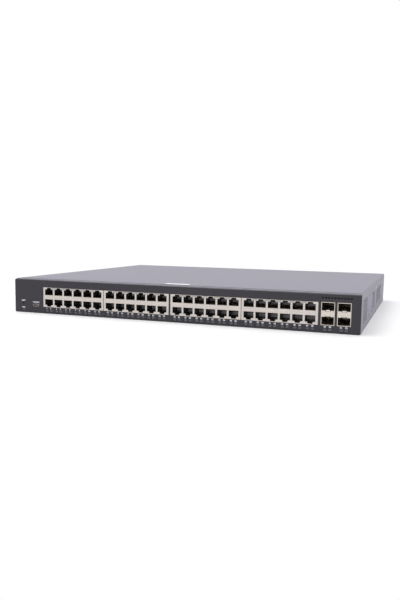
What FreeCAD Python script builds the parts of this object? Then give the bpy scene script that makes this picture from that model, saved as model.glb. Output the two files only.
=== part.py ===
import FreeCAD, Part
import os
import re
import Sketcher

# A rack-mount ethernet switch, one rack unit high.
# Millimetres. X runs to the right as seen from the front, Y to the rear and Z up.
# The origin is the middle of the underside, and the front looks towards -Y.

# Driving dimensions
SIZES = {
    # Steel case
    "case_width": 440,  # case, outside width
    "case_depth": 375,  # case, front face to the rear of the mains inlet
    "case_height": 44,  # case, outside height
    "sheet_gauge": 1.0,  # steel sheet, thickness
    "skin_gap": 0.2,  # gap between the tray's side walls and the cover
    "fold_radius": 2.0,  # cover folds, outside radius
    "tray_fold": 1.4,  # tray's top folds, outside radius
    "cover_lift": 0.4,  # cover's lower edge above the underside
    "rear_proud": 2.0,  # mains inlet flange, thickness behind the rear wall
    "front_flange": 8.6,  # tray's front top flange, depth behind the bezel
    "seam_gap": 0.9,  # dark seam between front flange and cover top
    "rear_flange": 9.0,  # tray's rear top flange, depth
    "flange_notch": 2.0,  # corner taken off the rear flange under the cover's fold
    "side_rise": 7.0,  # tray's side walls, height above the underside
    # Rack ear holes in both sides
    "rack_first": 97,  # rack ear holes, front column behind the front face
    "rack_span": 42,  # rack ear holes, spacing along the case
    "rack_low": 10.5,  # rack ear holes, lower row above the underside
    "rack_rise": 24,  # rack ear holes, spacing upwards
    "rack_hole": 2.1,  # rack ear holes, radius
    # Perforated fields in both sides
    "cell_pitch": 10.0,  # side perforations, pitch
    "cell_flat": 8.4,  # side perforations, width across flats
    "vent_front": 27,  # front field, first column behind the front face
    "vent_front_level": 13.4,  # front field, lowest row
    "vent_front_columns": 5,  # front field, columns
    "vent_front_rows": 3,  # front field, rows
    "vent_middle": 150.5,  # middle field, first column behind the front face
    "vent_middle_columns": 4,  # middle field, columns
    "vent_rear": 216.5,  # rear field, first column behind the front face
    "vent_rear_columns": 8,  # rear field, columns
    "vent_level": 18.2,  # middle and rear fields, lowest row
    "vent_rows": 2,  # middle and rear fields, rows
    # Front bezel
    "bezel_depth": 4.0,  # bezel, thickness
    "bezel_drop": 0.8,  # bezel and front flange below the cover's top
    "bezel_corner": 2.0,  # bezel, corner radius
    "bezel_edge": 0.5,  # bezel, bevel of the front edge
    "window_gap": 0.2,  # bezel openings, gap round what stands in them
    "wall_gap": 0.5,  # front wall openings, gap round what passes through
    "dot_first": 41.0,  # vent dots, first one from the right side
    "dot_pitch": 3.4,  # vent dots, pitch
    "dot_count": 10,  # vent dots, number
    "dot_flat": 1.9,  # vent dots, width across flats
    "dot_level": 5.4,  # vent dots, below the case's top
    # Main board
    "board_top": 8.4,  # main board, top face above the underside
    "board_gauge": 1.6,  # circuit boards, thickness
    "board_gap": 0.6,  # main board, gap behind the front wall
    "board_inset": 4.0,  # boards, gap beside the tray's side walls
    "board_depth": 200,  # main board, depth
    "boards_gap": 20,  # notch in the main board, gap round the supply board
    "post_flat": 5.5,  # standoffs, width across flats
    "post_inset": 12,  # standoffs, distance from the boards' edges
    "post_columns": 4,  # standoffs under the main board, number in a row
    # Copper port blocks
    "jack_middle": -1.4,  # port blocks, middle of the four
    "jack_mullion": 2.2,  # port blocks, space between the two pairs
    "jack_gap": 0.6,  # port blocks, space inside a pair
    "jack_margin": 1.59,  # port blocks, metal beside the outer columns
    "jack_rim": 0.7,  # port blocks, metal above and below the ports
    "jack_depth": 32,  # port blocks, depth
    "jack_gauge": 0.4,  # port block shield, thickness
    "jack_recess": 0.5,  # port blocks, face behind the bezel's face
    "column_pitch": 13.97,  # ports, pitch of the columns
    "column_count": 6,  # ports, columns in a block
    "port_band": 5.3,  # metal between the two rows of ports
    "port_width": 11.7,  # port, width of the plug cavity
    "port_height": 7.3,  # port, height of the plug cavity
    "step_width": 6.9,  # port, width of the step for the latch
    "step_tip": 5.0,  # port, width of the step at its narrow end
    "step_height": 2.1,  # port, height of the step for the latch
    "port_depth": 14.5,  # port, depth of the cavity behind the shield
    # Lamp windows
    "lamp_level": 3.75,  # lamp windows, middle above the underside
    "lamp_width": 4.4,  # lamp windows, width
    "lamp_height": 3.2,  # lamp windows, height
    "lamp_pitch": 5.6,  # lamp windows, pitch of a pair
    "lamp_fit": 0.3,  # light pipe, gap in its window
    "lamp_recess": 0.6,  # light pipe, tip behind the bezel's face
    "pipe_gap": 0.2,  # light pipe runner, gap behind the front wall
    "pipe_depth": 3.0,  # light pipe runner, depth
    "status_middle": 13.1,  # status lamp, middle from the left side
    # Optical cages
    "cage_first": 35.15,  # optical cages, middle of the first from the right side
    "cage_pitch": 17.5,  # optical cages, pitch
    "cage_wall": 0.75,  # optical cages, wall
    "cage_band": 6.8,  # optical cages, band between the two openings
    "cage_depth": 58,  # optical cages, depth
    "cage_recess": 0.1,  # optical cages, rim behind the bezel's face
    "slot_width": 13.35,  # optical opening, width
    "slot_height": 8.65,  # optical opening, height
    "slot_depth": 48,  # optical opening, depth
    "latch_width": 5.75,  # latch notch, width
    "latch_depth": 0.9,  # latch notch, height
    "latch_reach": 3.0,  # latch notch, depth
    "latch_tab": 4.2,  # latch tab, width
    "latch_set": 0.6,  # latch tab, set back from the rim
    "card_height": 5.6,  # optical connector, height
    "card_inset": 1.0,  # optical connector, narrower than the opening on each side
    "card_depth": 8.0,  # optical connector, depth
    "card_slot": 1.2,  # optical connector, slot height
    "card_slot_depth": 6.0,  # optical connector, slot depth
    # Console socket
    "console_middle": 32.0,  # console socket, middle from the left side
    "console_width": 9.0,  # console socket, outside width
    "console_height": 3.3,  # console socket, outside height
    "console_wall": 0.4,  # console socket, wall
    "console_recess": 0.2,  # console socket, rim behind the bezel's face
    "console_depth": 10.5,  # console socket, depth
    "console_back": 1.5,  # console socket, thickness of its back
    "tongue_width": 6.7,  # console socket tongue, width
    "tongue_gauge": 0.7,  # console socket tongue, thickness
    "tongue_length": 6.0,  # console socket tongue, length
    # Reset button
    "reset_middle": 13.2,  # reset button, middle from the left side
    "reset_level": 12.3,  # reset button, height above the underside
    "pin_hole": 1.1,  # reset pin hole, radius
    "button_radius": 1.6,  # reset button, radius
    "button_gap": 0.3,  # reset button, running gap
    "button_front": 0.5,  # reset button, gap behind the front wall
    "button_length": 3.6,  # reset button, length
    "button_seat": 1.4,  # reset button, length inside its switch
    "button_travel": 0.5,  # reset button, travel
    "tact_width": 7.0,  # reset switch, width
    "tact_depth": 5.0,  # reset switch, depth
    "tact_rise": 3.2,  # reset switch, height above the button's axis
    # Chips and their heat sinks
    "chip_back": 118,  # switch chip, middle behind the front face
    "chip_width": 31,  # switch chip, width
    "chip_rise": 3.0,  # switch chip, height
    "sink_width": 56,  # switch heat sink, width
    "sink_base": 3.0,  # heat sinks, base thickness
    "sink_rise": 13,  # switch heat sink, fin height
    "sink_fins": 9,  # switch heat sink, number of fins
    "fin_gauge": 1.4,  # heat sinks, fin thickness
    "phy_back": 50,  # line chips, middle behind the front face
    "phy_width": 18,  # line chips, width
    "phy_rise": 1.6,  # line chips, height
    "phy_sink_width": 42,  # line heat sinks, width
    "phy_sink_depth": 24,  # line heat sinks, depth
    "phy_sink_rise": 7,  # line heat sinks, fin height
    "phy_sink_fins": 5,  # line heat sinks, number of fins
    "memory_middle": 62,  # memory chips, first one from the middle
    "memory_pitch": 16,  # memory chips, pitch
    "memory_width": 10,  # memory chips, width
    "memory_depth": 13,  # memory chips, depth
    "memory_rise": 1.2,  # memory chips, height
    # Fan
    "fan_middle": 60,  # fan, from the middle
    "fan_gap": 0.5,  # fan, gap above the tray and below its flange
    "fan_depth": 20,  # fan, depth
    "fan_wall": 1.0,  # fan, thinnest wall round the bore
    "fan_hub": 9.8,  # fan, radius of the motor plate
    "fan_web": 2.4,  # fan, thickness of motor plate and struts
    "strut_width": 2.4,  # fan, strut width
    "rotor_hub": 9.4,  # rotor, hub radius
    "rotor_inset": 1.2,  # rotor, hub behind the frame's front
    "rotor_gap": 0.8,  # rotor, gap before the motor plate
    "blade_count": 5,  # rotor, blades
    "blade_gauge": 1.3,  # rotor, blade thickness along the turn
    "blade_sweep": 9.0,  # rotor, blade width along the turn
    "blade_inset": 1.0,  # rotor, blade edges inside the hub's ends
    "blade_root": 1.8,  # rotor, blade root inside the hub's skin
    "blade_gap": 1.0,  # rotor, blade tip to bore
    "shaft_radius": 1.2,  # rotor, shaft radius
    "shaft_gap": 0.3,  # rotor, gap in the bearing
    "shaft_seat": 2.0,  # rotor, shaft length inside the bearing
    "grille_pitch": 11.6,  # fan grille cells, pitch
    "grille_flat": 9.8,  # fan grille cells, width across flats
    "lead_width": 4.0,  # fan lead, width of the three flat wires
    "lead_gauge": 1.4,  # fan lead, thickness
    "lead_bend": 6.0,  # fan lead, corner of the bend
    "lead_drop": 2.6,  # fan lead, upper face below the fan's top
    "lead_side": 16.4,  # fan lead, axis beside the fan's axis
    "header_width": 8,  # fan header, width
    "header_depth": 6,  # fan header, depth
    "header_rise": 7.5,  # fan header, height
    "header_inset": 12,  # fan and supply headers, middle from the board's edge
    # Power supply
    "power_width": 104,  # supply board, width
    "power_depth": 150,  # supply board, depth
    "power_gap": 2.0,  # supply board, gap before the rear wall
    "film_gauge": 0.4,  # insulating film, thickness
    "film_inset": 18,  # insulating film, distance inside the supply board's sides
    "can_radius": 9,  # supply capacitor, radius
    "can_rise": 30,  # supply capacitor, height
    "can_side": 24,  # supply capacitor, from the board's outer edge
    "can_back": 100,  # supply capacitor, from the board's front edge
    "core_width": 34,  # transformer core, width
    "core_depth": 26,  # transformer core, depth
    "core_rise": 26,  # transformer core, height
    "coil_proud": 4,  # transformer winding, proud of the core
    "coil_rise": 16,  # transformer winding, height
    "core_back": 58,  # transformer, middle from the board's front edge
    "choke_width": 22,  # filter choke, width
    "choke_rise": 24,  # filter choke, height
    "choke_side": 66,  # filter choke, middle from the board's outer edge
    "choke_back": 104,  # filter choke, middle from the board's front edge
    "plate_width": 30,  # supply heat sinks, width
    "plate_depth": 14,  # supply heat sinks, depth
    "plate_rise": 18,  # supply heat sinks, fin height
    "plate_fins": 4,  # supply heat sinks, number of fins
    "plate_side": 28,  # supply heat sinks, first middle from the board's outer edge
    "plate_pitch": 46,  # supply heat sinks, pitch
    "plate_back": 28,  # supply heat sinks, middle from the board's front edge
    "link_width": 18,  # supply ribbon and its headers, width
    "link_gauge": 1.4,  # supply ribbon, thickness
    "link_rise": 11,  # supply ribbon, height above its headers
    "link_bend": 5,  # supply ribbon, corner of its bends
    "link_head": 6,  # supply headers, depth
    # Mains inlet
    "inlet_middle": 42,  # mains inlet, middle from the left side
    "inlet_level": 22,  # mains inlet, height above the underside
    "inlet_width": 27.4,  # mains inlet, body width
    "inlet_height": 19.8,  # mains inlet, body height
    "inlet_depth": 20,  # mains inlet, body depth inside the rear wall
    "inlet_ear": 11.3,  # mains inlet, flange beyond the body at each side
    "inlet_lip": 1.6,  # mains inlet, flange beyond the body above and below
    "inlet_rim": 1.7,  # mains inlet, wall round the socket
    "inlet_bevel": 4.6,  # mains inlet, bevelled upper corners of the socket
    "inlet_socket": 17,  # mains inlet, depth of the socket
    "blade_pin_width": 2.0,  # inlet pins, width
    "blade_pin_height": 4.0,  # inlet pins, height
    "blade_pin_side": 7.0,  # inlet pins, live and neutral from the middle
    "blade_pin_offset": 2.0,  # inlet pins, above and below the middle
    "blade_pin_set": 2.0,  # inlet pins, tip inside the flange's face
    "blade_pin_tail": 3.0,  # inlet pins, tail behind the body
}

doc = FreeCAD.newDocument("ethernet_switch")
sheet = doc.addObject("Spreadsheet::Sheet", "sizes")
for row, (alias, value) in enumerate(SIZES.items(), start=1):
    sheet.set(f"A{row}", alias)
    sheet.set(f"B{row}", str(value))
    sheet.setAlias(f"B{row}", alias)
doc.recompute()
parts = []

# Places and sizes that follow from the sheet, as expressions
HALF = "(case_width / 2)"
FRONT = "(-case_depth / 2)"
WALL = f"({FRONT} + bezel_depth)"
INSIDE = f"({WALL} + sheet_gauge)"
REAR = "(case_depth / 2 - rear_proud)"
REAR_INSIDE = f"({REAR} - sheet_gauge)"
TRAY = f"({HALF} - sheet_gauge - skin_gap)"
BEZEL_TOP = "(case_height - bezel_drop)"
BOARD_UNDER = "(board_top - board_gauge)"
BOARD_FRONT = f"({INSIDE} + board_gap)"
BOARD_BACK = f"({BOARD_FRONT} + board_depth)"
BOARD_SIDE = f"({TRAY} - sheet_gauge - board_inset)"
JACK_WIDTH = "(column_count * column_pitch + 2 * jack_margin)"
PORT_BOTTOM = "(port_band / 2)"
PORT_TOP = f"({PORT_BOTTOM} + port_height)"
STEP_TOP = f"({PORT_TOP} + step_height)"
JACK_HEIGHT = f"(2 * ({STEP_TOP} + jack_rim))"
JACK_LEVEL = f"(board_top + {JACK_HEIGHT} / 2)"
FIRST_COLUMN = "(-column_pitch * (column_count - 1) / 2)"
PAIR_SHIFT = f"(jack_mullion / 2 + {JACK_WIDTH} + jack_gap / 2)"
BLOCK_SHIFT = f"(({JACK_WIDTH} + jack_gap) / 2)"
PAIR_CENTRES = [f"(jack_middle - {PAIR_SHIFT})", f"(jack_middle + {PAIR_SHIFT})"]
JACK_CENTRES = [f"({pair} {sign} {BLOCK_SHIFT})" for pair in PAIR_CENTRES for sign in "-+"]
CAGE_WIDTH = "(slot_width + 2 * cage_wall)"
SLOT_BOTTOM = "(cage_band / 2)"
SLOT_TOP = f"({SLOT_BOTTOM} + slot_height)"
CAGE_HEIGHT = f"(2 * ({SLOT_TOP} + cage_wall))"
CAGE_LEVEL = f"(board_top + {CAGE_HEIGHT} / 2)"
CAGE_FIRST = f"({HALF} - cage_first)"
CAGE_CENTRES = [CAGE_FIRST, f"({CAGE_FIRST} + cage_pitch)"]
STATUS_MIDDLE = f"(status_middle - {HALF})"
CONSOLE_MIDDLE = f"(console_middle - {HALF})"
CONSOLE_LEVEL = "(board_top + console_height / 2)"
RESET_MIDDLE = f"(reset_middle - {HALF})"
DOT_FIRST = f"({HALF} - dot_first)"
DOT_LEVEL = "(case_height - dot_level)"
FAN_SIZE = "(case_height - 3 * sheet_gauge - 2 * fan_gap)"
FAN_LEVEL = "((case_height - sheet_gauge) / 2)"
FAN_BORE = f"({FAN_SIZE} / 2 - fan_wall)"
FAN_FRONT = f"({REAR_INSIDE} - fan_depth)"
POWER_LEFT = f"(-{BOARD_SIDE})"
POWER_RIGHT = f"({POWER_LEFT} + power_width)"
POWER_BACK = f"({REAR_INSIDE} - power_gap)"
POWER_FRONT = f"({POWER_BACK} - power_depth)"
NOTCH_FRONT = f"({POWER_FRONT} - boards_gap)"
BOARD_LEFT_BACK = f"min({NOTCH_FRONT}; {BOARD_BACK})"
INLET_MIDDLE = f"(inlet_middle - {HALF})"
LINK_MIDDLE = f"({POWER_RIGHT} - post_inset - post_flat - link_width / 2)"
ROW_RISE = "(cell_pitch * sqrt(3) / 2)"


def bound(text):
    """Write the sheet's name before each alias in an expression."""
    return re.sub("[a-z_]+", lambda word: f"sizes.{word[0]}" if word[0] in SIZES else word[0], text)


def number(text):
    """Value of an expression with the sheet's present sizes."""
    return float(sheet.evalExpression(bound(text)))


def same(first, second):
    """Whether two measures agree to a thousandth of a millimetre."""
    return round(first - second, 3) == 0


def keep(label, piece):
    """Name a finished sub-part and list it for the STEP files."""
    piece.Label = label
    parts.append(piece)
    return piece


def place(piece, x, y, z):
    """Bind a piece's place to expressions."""
    for axis, text in zip("xyz", (x, y, z)):
        piece.setExpression(f"Placement.Base.{axis}", bound(text))
    return piece


def origin_part(body, role):
    return next(part for part in body.Origin.OriginFeatures if part.Role == role)


def rectangle(left, low, right, high):
    return [(left, low), (right, low), (right, high), (left, high)]


def centred(x, z, width, height):
    """Rectangle about a middle point."""
    return rectangle(f"{x} - {width} / 2", f"{z} - {height} / 2", f"{x} + {width} / 2", f"{z} + {height} / 2")


def hexagon(x, z, flat):
    """Hexagon with corners up and down, from its width across flats."""
    half = f"{flat} / 2"
    rise = f"{flat} / sqrt(3)"
    right = [(f"{x} + {half}", f"{z} - {rise} / 2"), (f"{x} + {half}", f"{z} + {rise} / 2")]
    left = [(f"{x} - {half}", f"{z} + {rise} / 2"), (f"{x} - {half}", f"{z} - {rise} / 2")]
    return right + [(x, f"{z} + {rise}")] + left + [(x, f"{z} - {rise}")]


def new_sketch(body, plane, level):
    """Empty sketch on an origin plane, moved along that plane's axis to a level."""
    sketch = body.newObject("Sketcher::SketchObject", "sketch")
    sketch.AttachmentSupport = [(origin_part(body, plane), "")]
    sketch.MapMode = "FlatFace"
    direction = "-1" if plane == "XZ_Plane" else "1"
    sketch.setExpression("AttachmentOffset.Base.z", bound(f"{direction} * ({level})"))
    return sketch


def fix_point(sketch, line, end, x, y):
    """Tie a point of the sketch to two expressions."""
    for kind, text in (("DistanceX", x), ("DistanceY", y)):
        index = sketch.addConstraint(Sketcher.Constraint(kind, -1, 1, line, end, number(text)))
        sketch.setExpression(f"Constraints[{index}]", bound(text))


def polygons(body, plane, loops, level="0"):
    """Sketch of closed straight-sided outlines, each corner tied to the sheet."""
    sketch = new_sketch(body, plane, level)
    for corners in loops:
        points = [FreeCAD.Vector(number(x), number(y), 0) for x, y in corners]
        first = sketch.GeometryCount
        for start, end in zip(points, points[1:] + points[:1]):
            sketch.addGeometry(Part.LineSegment(start, end), False)
        for index, (x, y) in enumerate(corners):
            after = first + (index + 1) % len(corners)
            sketch.addConstraint(Sketcher.Constraint("Coincident", first + index, 2, after, 1))
            fix_point(sketch, first + index, 1, x, y)
    return sketch


def circles(body, plane, rings, level="0"):
    """Sketch of circles, each with centre and radius tied to the sheet."""
    sketch = new_sketch(body, plane, level)
    up = FreeCAD.Vector(0, 0, 1)
    for x, y, radius in rings:
        centre = FreeCAD.Vector(number(x), number(y), 0)
        ring = sketch.addGeometry(Part.Circle(centre, up, number(radius)), False)
        fix_point(sketch, ring, 3, x, y)
        index = sketch.addConstraint(Sketcher.Constraint("Radius", ring, number(radius)))
        sketch.setExpression(f"Constraints[{index}]", bound(radius))
    return sketch


def pad(body, sketch, length):
    """Add material from the sketch towards the positive end of its axis."""
    feature = body.newObject("PartDesign::Pad", "pad")
    feature.Profile = sketch
    feature.setExpression("Length", bound(length))
    feature.Reversed = sketch.AttachmentSupport[0][0].Role == "XZ_Plane"
    body.Tip = feature
    return feature


def pocket(body, sketch, length):
    """Take material from the sketch towards the positive end of its axis."""
    feature = body.newObject("PartDesign::Pocket", "pocket")
    feature.Profile = sketch
    feature.setExpression("Length", bound(length))
    feature.Reversed = sketch.AttachmentSupport[0][0].Role != "XZ_Plane"
    body.Tip = feature
    return feature


def repeat(body, features, step, count):
    """Repeat features in a row along X."""
    pattern = body.newObject("PartDesign::LinearPattern", "row")
    pattern.Originals = features
    pattern.Direction = (origin_part(body, "X_Axis"), [""])
    pattern.setExpression("Length", bound(f"{step} * ({count} - 1)"))
    pattern.setExpression("Occurrences", bound(count))
    body.Tip = pattern
    return pattern


def mirror(body, features, plane):
    pattern = body.newObject("PartDesign::Mirrored", "mirror")
    pattern.Originals = features
    pattern.MirrorPlane = (origin_part(body, plane), [""])
    body.Tip = pattern
    return pattern


def dress(body, kind, setting, length, chosen):
    """Round or bevel the edges of the body that pass a test on their middle and extent."""
    doc.recompute()
    base = body.Tip
    names = []
    for index, edge in enumerate(base.Shape.Edges, start=1):
        middle = edge.valueAt((edge.FirstParameter + edge.LastParameter) / 2)
        if chosen(middle, edge.BoundBox):
            names.append(f"Edge{index}")
    feature = body.newObject(f"PartDesign::{kind}", "dressed")
    feature.Base = (base, names)
    feature.setExpression(setting, bound(length))
    body.Tip = feature


def fillet(body, radius, chosen):
    dress(body, "Fillet", "Radius", radius, chosen)


def chamfer(body, width, chosen):
    dress(body, "Chamfer", "Size", width, chosen)


def new_body(name):
    return doc.addObject("PartDesign::Body", name)


def block(x, y, z, width, depth, height):
    """Plain box from its low corner."""
    box = doc.addObject("Part::Box", "block")
    for side, text in (("Length", width), ("Width", depth), ("Height", height)):
        box.setExpression(side, bound(text))
    return place(box, x, y, z)


TURNS = {
    "Z": FreeCAD.Rotation(),
    "Y": FreeCAD.Rotation(FreeCAD.Vector(1, 0, 0), -90),
    "X": FreeCAD.Rotation(FreeCAD.Vector(0, 1, 0), 90),
}


def rod(x, y, z, radius, length, axis):
    """Cylinder from the middle of its first end."""
    cylinder = doc.addObject("Part::Cylinder", "rod")
    cylinder.Placement = FreeCAD.Placement(FreeCAD.Vector(), TURNS[axis])
    cylinder.setExpression("Radius", bound(radius))
    cylinder.setExpression("Height", bound(length))
    return place(cylinder, x, y, z)


def prism(x, y, z, flat, length, axis):
    """Hexagonal prism from the middle of its first end."""
    shape = doc.addObject("Part::Prism", "prism")
    shape.Placement = FreeCAD.Placement(FreeCAD.Vector(), TURNS[axis])
    shape.setExpression("Circumradius", bound(f"{flat} / sqrt(3)"))
    shape.setExpression("Height", bound(length))
    return place(shape, x, y, z)


def group(pieces):
    """Separate solids that share one node."""
    compound = doc.addObject("Part::Compound", "group")
    compound.Links = pieces
    return compound


def joined(pieces):
    fuse = doc.addObject("Part::MultiFuse", "joined")
    fuse.Shapes = pieces
    return fuse


def less(base, tool):
    cut = doc.addObject("Part::Cut", "less")
    cut.Base = base
    cut.Tool = tool
    return cut


def chassis_base():
    """Folded tray: bottom, front wall with flange, rear wall with flange, low side walls."""
    body = new_body("tray")
    under = "case_height - sheet_gauge"
    flange_back = f"{WALL} + front_flange"
    fold = [
        (WALL, "0"),
        (REAR, "0"),
        (REAR, under),
        (f"{REAR} - rear_flange", under),
        (f"{REAR} - rear_flange", f"{under} - sheet_gauge"),
        (REAR_INSIDE, f"{under} - sheet_gauge"),
        (REAR_INSIDE, "sheet_gauge"),
        (INSIDE, "sheet_gauge"),
        (INSIDE, f"{BEZEL_TOP} - sheet_gauge"),
        (flange_back, f"{BEZEL_TOP} - sheet_gauge"),
        (flange_back, BEZEL_TOP),
        (WALL, BEZEL_TOP),
    ]
    pad(body, polygons(body, "YZ_Plane", [fold], f"-{TRAY}"), f"2 * {TRAY}")
    outside = [(number(WALL), number(BEZEL_TOP)), (number(REAR), number(under))]
    within = [(number(INSIDE), number(f"{BEZEL_TOP} - sheet_gauge")),
              (number(REAR_INSIDE), number(f"{under} - sheet_gauge"))]
    for radius, corners in (("tray_fold", outside), ("tray_fold - sheet_gauge", within)):
        fillet(body, radius, lambda middle, box: any(same(middle.y, y) and same(middle.z, z)
                                                     for y, z in corners))

    side = rectangle(f"{TRAY} - sheet_gauge", "0", TRAY, "side_rise")
    wall = pad(body, polygons(body, "XZ_Plane", [side], INSIDE), f"{REAR_INSIDE} - {INSIDE}")
    mirror(body, [wall], "YZ_Plane")
    notch = "flange_notch"
    corner = [(f"{TRAY} - {notch}", under), (TRAY, under), (TRAY, f"{under} - {notch}")]
    corner_cut = pocket(body, polygons(body, "XZ_Plane", [corner], f"{REAR} - rear_flange"), "rear_flange")
    mirror(body, [corner_cut], "YZ_Plane")

    pocket(body, polygons(body, "XZ_Plane", front_wall_openings(), WALL), "sheet_gauge")
    socket = centred(INLET_MIDDLE, "inlet_level", "(inlet_width + 2 * window_gap)",
                     "(inlet_height + 2 * window_gap)")
    pocket(body, polygons(body, "XZ_Plane", [socket], REAR_INSIDE), "sheet_gauge")
    return less(body, group(grille_cells()))


def front_wall_openings():
    """Openings of the tray's front wall, a little larger than the bezel's."""
    gap = "2 * wall_gap"
    pair_width = f"(2 * {JACK_WIDTH} + jack_gap + {gap})"
    lamps_width = f"(column_pitch * (column_count - 1) + lamp_pitch + lamp_width + {gap})"
    lamp_pair = f"(lamp_pitch + lamp_width + {gap})"
    lamp_rise = f"(lamp_height + {gap})"
    openings = [centred(x, JACK_LEVEL, pair_width, f"({JACK_HEIGHT} + {gap})") for x in PAIR_CENTRES]
    openings += [centred(x, CAGE_LEVEL, f"({CAGE_WIDTH} + {gap})", f"({CAGE_HEIGHT} + {gap})")
                 for x in CAGE_CENTRES]
    openings += [centred(x, "lamp_level", lamps_width, lamp_rise) for x in JACK_CENTRES]
    openings += [centred(x, "lamp_level", lamp_pair, lamp_rise) for x in CAGE_CENTRES]
    openings.append(centred(STATUS_MIDDLE, "lamp_level", f"(lamp_width + {gap})", lamp_rise))
    openings.append(centred(CONSOLE_MIDDLE, CONSOLE_LEVEL, f"(console_width + {gap})",
                            f"(console_height + {gap})"))
    openings.append(centred(RESET_MIDDLE, "reset_level", f"(2 * pin_hole + {gap})",
                            f"(2 * pin_hole + {gap})"))
    dots_width = f"(dot_pitch * (dot_count - 1) + dot_flat + {gap})"
    openings.append(centred(f"({DOT_FIRST} + dot_pitch * (dot_count - 1) / 2)", DOT_LEVEL, dots_width,
                            f"(dot_flat + {gap})"))
    return openings


def grille_cells():
    """Honeycomb ring round a middle cell, behind the fan."""
    steps = (-1, 0, 1)
    cells = [(along, up) for along in steps for up in steps if abs(along + up) <= 1]
    tools = []
    for along, up in cells:
        x = f"fan_middle + grille_pitch * ({along} + {up} / 2)"
        level = f"{FAN_LEVEL} + grille_pitch * sqrt(3) / 2 * {up}"
        tools.append(prism(x, REAR_INSIDE, level, "grille_flat", "sheet_gauge", "Y"))
    return tools


keep("chassis_base", chassis_base())


def vent_field(along, level, columns, rows):
    """Staggered hexagons that pass through both sides of the cover."""
    tools = []
    for row in range(int(number(rows))):
        shift = row % 2
        for column in range(int(number(columns)) - shift):
            y = f"{FRONT} + {along} + cell_pitch * ({column} + {shift} / 2)"
            z = f"{level} + {ROW_RISE} * {row}"
            tools.append(prism(f"-{HALF}", y, z, "cell_flat", "case_width", "X"))
    return tools


def rack_holes():
    """Four rack ear holes, through both sides of the cover."""
    places = [(f"{FRONT} + rack_first + {along}", f"rack_low + {up}")
              for along in ("0", "rack_span") for up in ("0", "rack_rise")]
    return [rod(f"-{HALF}", y, z, "rack_hole", "case_width", "X") for y, z in places]


def top_cover():
    """Folded U of steel: the top and both perforated sides."""
    body = new_body("cover")
    inner = f"({HALF} - sheet_gauge)"
    under = "case_height - sheet_gauge"
    outline = [
        (f"-{HALF}", "cover_lift"),
        (f"-{HALF}", "case_height"),
        (HALF, "case_height"),
        (HALF, "cover_lift"),
        (inner, "cover_lift"),
        (inner, under),
        (f"-{inner}", under),
        (f"-{inner}", "cover_lift"),
    ]
    pad(body, polygons(body, "XZ_Plane", [outline], WALL), f"{REAR} - {WALL}")
    top = number("case_height")
    below = number(under)
    side = number(HALF)
    fillet(body, "fold_radius", lambda middle, box: same(middle.z, top)
           and same(abs(middle.x), side))
    within = number(inner)
    fillet(body, "fold_radius - sheet_gauge", lambda middle, box: same(middle.z, below)
           and same(abs(middle.x), within))
    front_edge = rectangle(f"-{inner}", WALL, inner, f"{WALL} + front_flange + seam_gap")
    pocket(body, polygons(body, "XY_Plane", [front_edge], "case_height - 2 * fold_radius"), "2 * fold_radius")

    tools = vent_field("vent_front", "vent_front_level", "vent_front_columns", "vent_front_rows")
    tools += vent_field("vent_middle", "vent_level", "vent_middle_columns", "vent_rows")
    tools += vent_field("vent_rear", "vent_level", "vent_rear_columns", "vent_rows")
    return less(body, group(tools + rack_holes()))


keep("top_cover", top_cover())


def front_bezel():
    """Dark front plate with rounded edges and its openings."""
    body = new_body("bezel")
    pad(body, polygons(body, "XZ_Plane", [rectangle(f"-{HALF}", "0", HALF, BEZEL_TOP)], FRONT), "bezel_depth")
    depth = number("bezel_depth")
    fillet(body, "bezel_corner", lambda middle, box: same(box.YLength, depth))
    face = number(FRONT)
    chamfer(body, "bezel_edge", lambda middle, box: same(middle.y, face))

    gap = "2 * window_gap"
    pair_width = f"(2 * {JACK_WIDTH} + jack_gap + {gap})"
    openings = [centred(x, JACK_LEVEL, pair_width, f"({JACK_HEIGHT} + {gap})") for x in PAIR_CENTRES]
    openings += [centred(x, CAGE_LEVEL, f"({CAGE_WIDTH} + {gap})", f"({CAGE_HEIGHT} + {gap})")
                 for x in CAGE_CENTRES]
    openings += [lamp_window(x) for x in cage_lamps()]
    openings.append(lamp_window(STATUS_MIDDLE))
    pocket(body, polygons(body, "XZ_Plane", openings, FRONT), "bezel_depth")
    for x in JACK_CENTRES:
        windows = polygons(body, "XZ_Plane", [lamp_window(lamp) for lamp in column_lamps(x)], FRONT)
        repeat(body, [pocket(body, windows, "bezel_depth")], "column_pitch", "column_count")
    console = obround(body, CONSOLE_MIDDLE, CONSOLE_LEVEL, f"(console_width + {gap})",
                      f"(console_height + {gap})", FRONT)
    pocket(body, console, "bezel_depth")
    reset = circles(body, "XZ_Plane", [(RESET_MIDDLE, "reset_level", "pin_hole")], FRONT)
    pocket(body, reset, "bezel_depth")
    dot = polygons(body, "XZ_Plane", [hexagon(DOT_FIRST, DOT_LEVEL, "dot_flat")], FRONT)
    repeat(body, [pocket(body, dot, "bezel_depth")], "dot_pitch", "dot_count")
    return body


def column_lamps(block_middle):
    """Middles of the two lamps under a block's first column."""
    column = f"({block_middle} + {FIRST_COLUMN})"
    return [f"({column} {sign} lamp_pitch / 2)" for sign in "-+"]


def cage_lamps():
    """Middles of the lamps under the optical cages."""
    return [f"({x} {sign} lamp_pitch / 2)" for x in CAGE_CENTRES for sign in "-+"]


def lamp_window(x):
    return centred(x, "lamp_level", "lamp_width", "lamp_height")


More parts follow.
